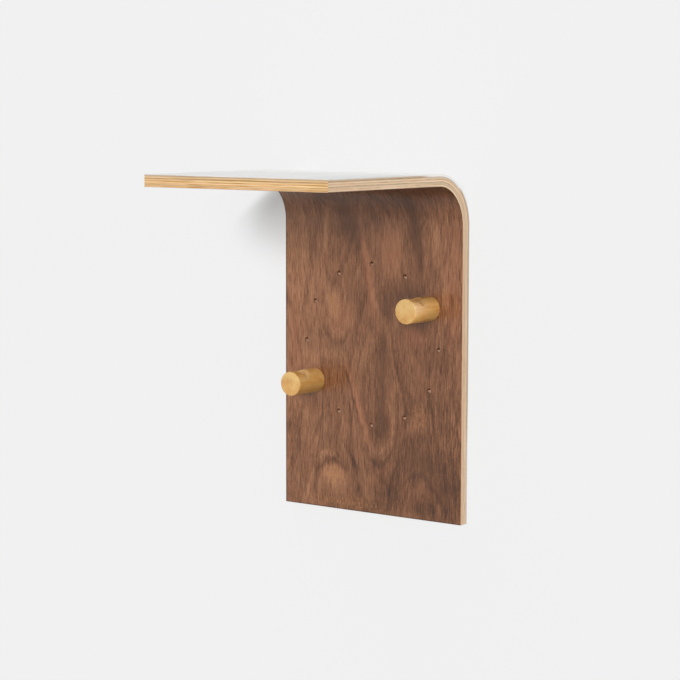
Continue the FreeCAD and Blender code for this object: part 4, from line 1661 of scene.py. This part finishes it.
@dataclass
class Studio:
    """The wall, the floor, the light and the camera.

    The backdrop shows a shadow only in part: most beside the panel, a little
    near the object, and none from the far edge outwards.
    """

    background: float = 0.879
    wall_white: float = 0.792
    ambient: float = 0.33
    shadow_share: float = 0.95
    shadow: Stroke = Stroke(-124.0, 28.0, 80.0, 72.0, 1.0)
    shadow_side: tuple[float, float] = (0.58, 0.81)
    shadow_brink: tuple[float, float, float, float] = (-132.5, -118.5, 0.08, 1.0)
    shadow_rest: tuple[float, float, float, float] = (450.0, 1300.0, 0.12, 0.0)
    lights: tuple[Sun, ...] = (
        Sun("key_light", 1.9, 20.0, 11.5, 19.0),
        Sun("side_light", 0.95, 74.0, 5.0, 30.0),
        Sun("top_light", 1.15, -20.0, 72.0, 30.0),
        Sun("fill_light", 0.12, -30.0, 0.0, 40.0),
        Sun("back_light", 1.3, -150.0, -15.0, 24.0),
    )
    wall_gap: float = 0.4
    floor_height: float = -1100.0
    plane_reach: float = 3000.0
    camera_place: tuple[float, float, float] = (1280.435, -1791.06, 143.588)
    camera_turn: float = 0.638395
    camera_dip: float = 0.109057
    camera_roll: float = 0.0016637
    focal_pixels: float = 2167.957
    frame_pixels: float = 680.0
    sensor: float = 36.0

    def backdrop_finish(self, name: str) -> bpy.types.Material:
        """Makes the pale surface of the wall and the floor, which only the camera sees, from the front.

        Its shadows are strongest beside the panel under the shelf, and fade
        away from there and towards the shelf's underside.

        Args:
            name: the material's name.

        Returns:
            The material.
        """
        material = bpy.data.materials.new(name)
        desk = NodeDesk.emptied(material)
        glow = desk.light("ShaderNodeEmission", self.background)
        paint = desk.add("ShaderNodeBsdfDiffuse")
        paint.inputs["Color"].default_value = (self.wall_white,) * 3 + (1.0,)
        x, _, z = desk.places()
        right, down = self.shadow_side
        brink = desk.remap(x * right - z * down, *self.shadow_brink)
        near = SoftSpots(desk, x, z).lay(self.shadow) * brink
        least = desk.remap(desk.reach(x, z), *self.shadow_rest)
        share = desk.highest(near * self.shadow_share, least)
        look = desk.mixed(share, glow, paint.outputs[0])
        behind = desk.read(desk.add("ShaderNodeNewGeometry").outputs["Backfacing"])
        seen = desk.read(desk.add("ShaderNodeLightPath").outputs["Is Camera Ray"])
        shown = seen * (1.0 - behind)
        clear = desk.add("ShaderNodeBsdfTransparent")
        out = desk.add("ShaderNodeOutputMaterial")
        desk.feed(out.inputs["Surface"], desk.mixed(shown, clear.outputs[0], look))
        return material

    def plane(self, name: str, place: Matrix) -> None:
        """Adds a large one-sided plane.

        Args:
            name: its name.
            place: where its middle is, and which way it faces.
        """
        shape = bmesh.new()
        bmesh.ops.create_grid(shape, x_segments=1, y_segments=1, size=self.plane_reach * MM, matrix=place)
        made = Workshop.piece(name, shape, self.backdrop_finish(f"{name}_paint"))

    def lamps(self) -> None:
        """Adds the soft lights."""
        for sun in self.lights:
            lamp = bpy.data.lights.new(sun.name, "SUN")
            lamp.energy = sun.strength
            lamp.angle = math.radians(sun.spread)
            made = bpy.data.objects.new(sun.name, lamp)
            side, height = math.radians(sun.right), math.radians(sun.up)
            flat = math.cos(height)
            towards = Vector((math.sin(side) * flat, -math.cos(side) * flat, math.sin(height)))
            made.rotation_mode = "QUATERNION"
            made.rotation_quaternion = towards.to_track_quat("Z", "Y")
            made.location = towards * 2.0
            bpy.context.scene.collection.objects.link(made)

    def surroundings(self) -> None:
        """Makes the world: soft light for the object, and the pale background for the camera and gloss."""
        world = bpy.data.worlds.new("studio")
        bpy.context.scene.world = world
        desk = NodeDesk.emptied(world)
        light = desk.light("ShaderNodeBackground", self.ambient)
        shown = desk.light("ShaderNodeBackground", self.background)
        path = desk.add("ShaderNodeLightPath").outputs
        mirrored = desk.highest(path["Is Glossy Ray"], path["Is Transmission Ray"])
        looks = desk.highest(path["Is Camera Ray"], mirrored)
        out = desk.add("ShaderNodeOutputWorld")
        desk.feed(out.inputs["Surface"], desk.mixed(looks, light, shown))

    def camera(self) -> None:
        """Adds the camera at the photograph's place."""
        lens = bpy.data.cameras.new("camera")
        lens.sensor_width = self.sensor
        lens.lens = self.focal_pixels * self.sensor / self.frame_pixels
        made = bpy.data.objects.new("camera", lens)
        turn = Matrix.Rotation(self.camera_turn, 4, "Z")
        turn = turn @ Matrix.Rotation(math.pi / 2 - self.camera_dip, 4, "X")
        turn = turn @ Matrix.Rotation(self.camera_roll, 4, "Z")
        made.matrix_world = Matrix.Translation(Vector(self.camera_place) * MM) @ turn
        bpy.context.scene.collection.objects.link(made)
        bpy.context.scene.camera = made

    def build(self) -> None:
        """Sets the whole studio up."""
        self.camera()
        upright = Matrix.Rotation(math.pi / 2, 4, "X")
        self.plane("studio_wall", Matrix.Translation((0, self.wall_gap * MM, 0)) @ upright)
        self.plane("studio_floor", Matrix.Translation((0, 0, self.floor_height * MM)))
        self.lamps()
        self.surroundings()
        bpy.context.scene.view_settings.view_transform = "Standard"
        log.info("studio: ready")


def main() -> None:
    """Builds the studio and the shelf."""
    logging.basicConfig(level=logging.INFO, format="%(name)s: %(message)s")
    Studio().build()
    BentPanel().build()
    steel = PlainMetal(name="pin_steel").make()
    NotchedPeg("upper_peg", x=71.447, z=-60.05).build(HoneyWood(name="upper_peg_wood").make(), steel)
    # The lower peg's wood has its own pith and its own painted light and shade, with more shade on its side
    # and underside, and no painted reflection.
    lower_shaded_wood = HoneyWood(
        name="lower_peg_wood", pith=(-50.0, -170.0), axis_height=-142.55, painted_side=0.78,
        painted_front=1.03, painted_rear=0.95, painted_rim=0.95, painted_top=1.05,
        painted_under=0.86, painted_under_rear=0.9, painted_reflection=0.0)
    NotchedPeg("lower_peg", x=-71.447, z=-142.55).build(lower_shaded_wood.make(), steel)
    KeyholeHangers().build()


if __name__ == "__main__":
    main()
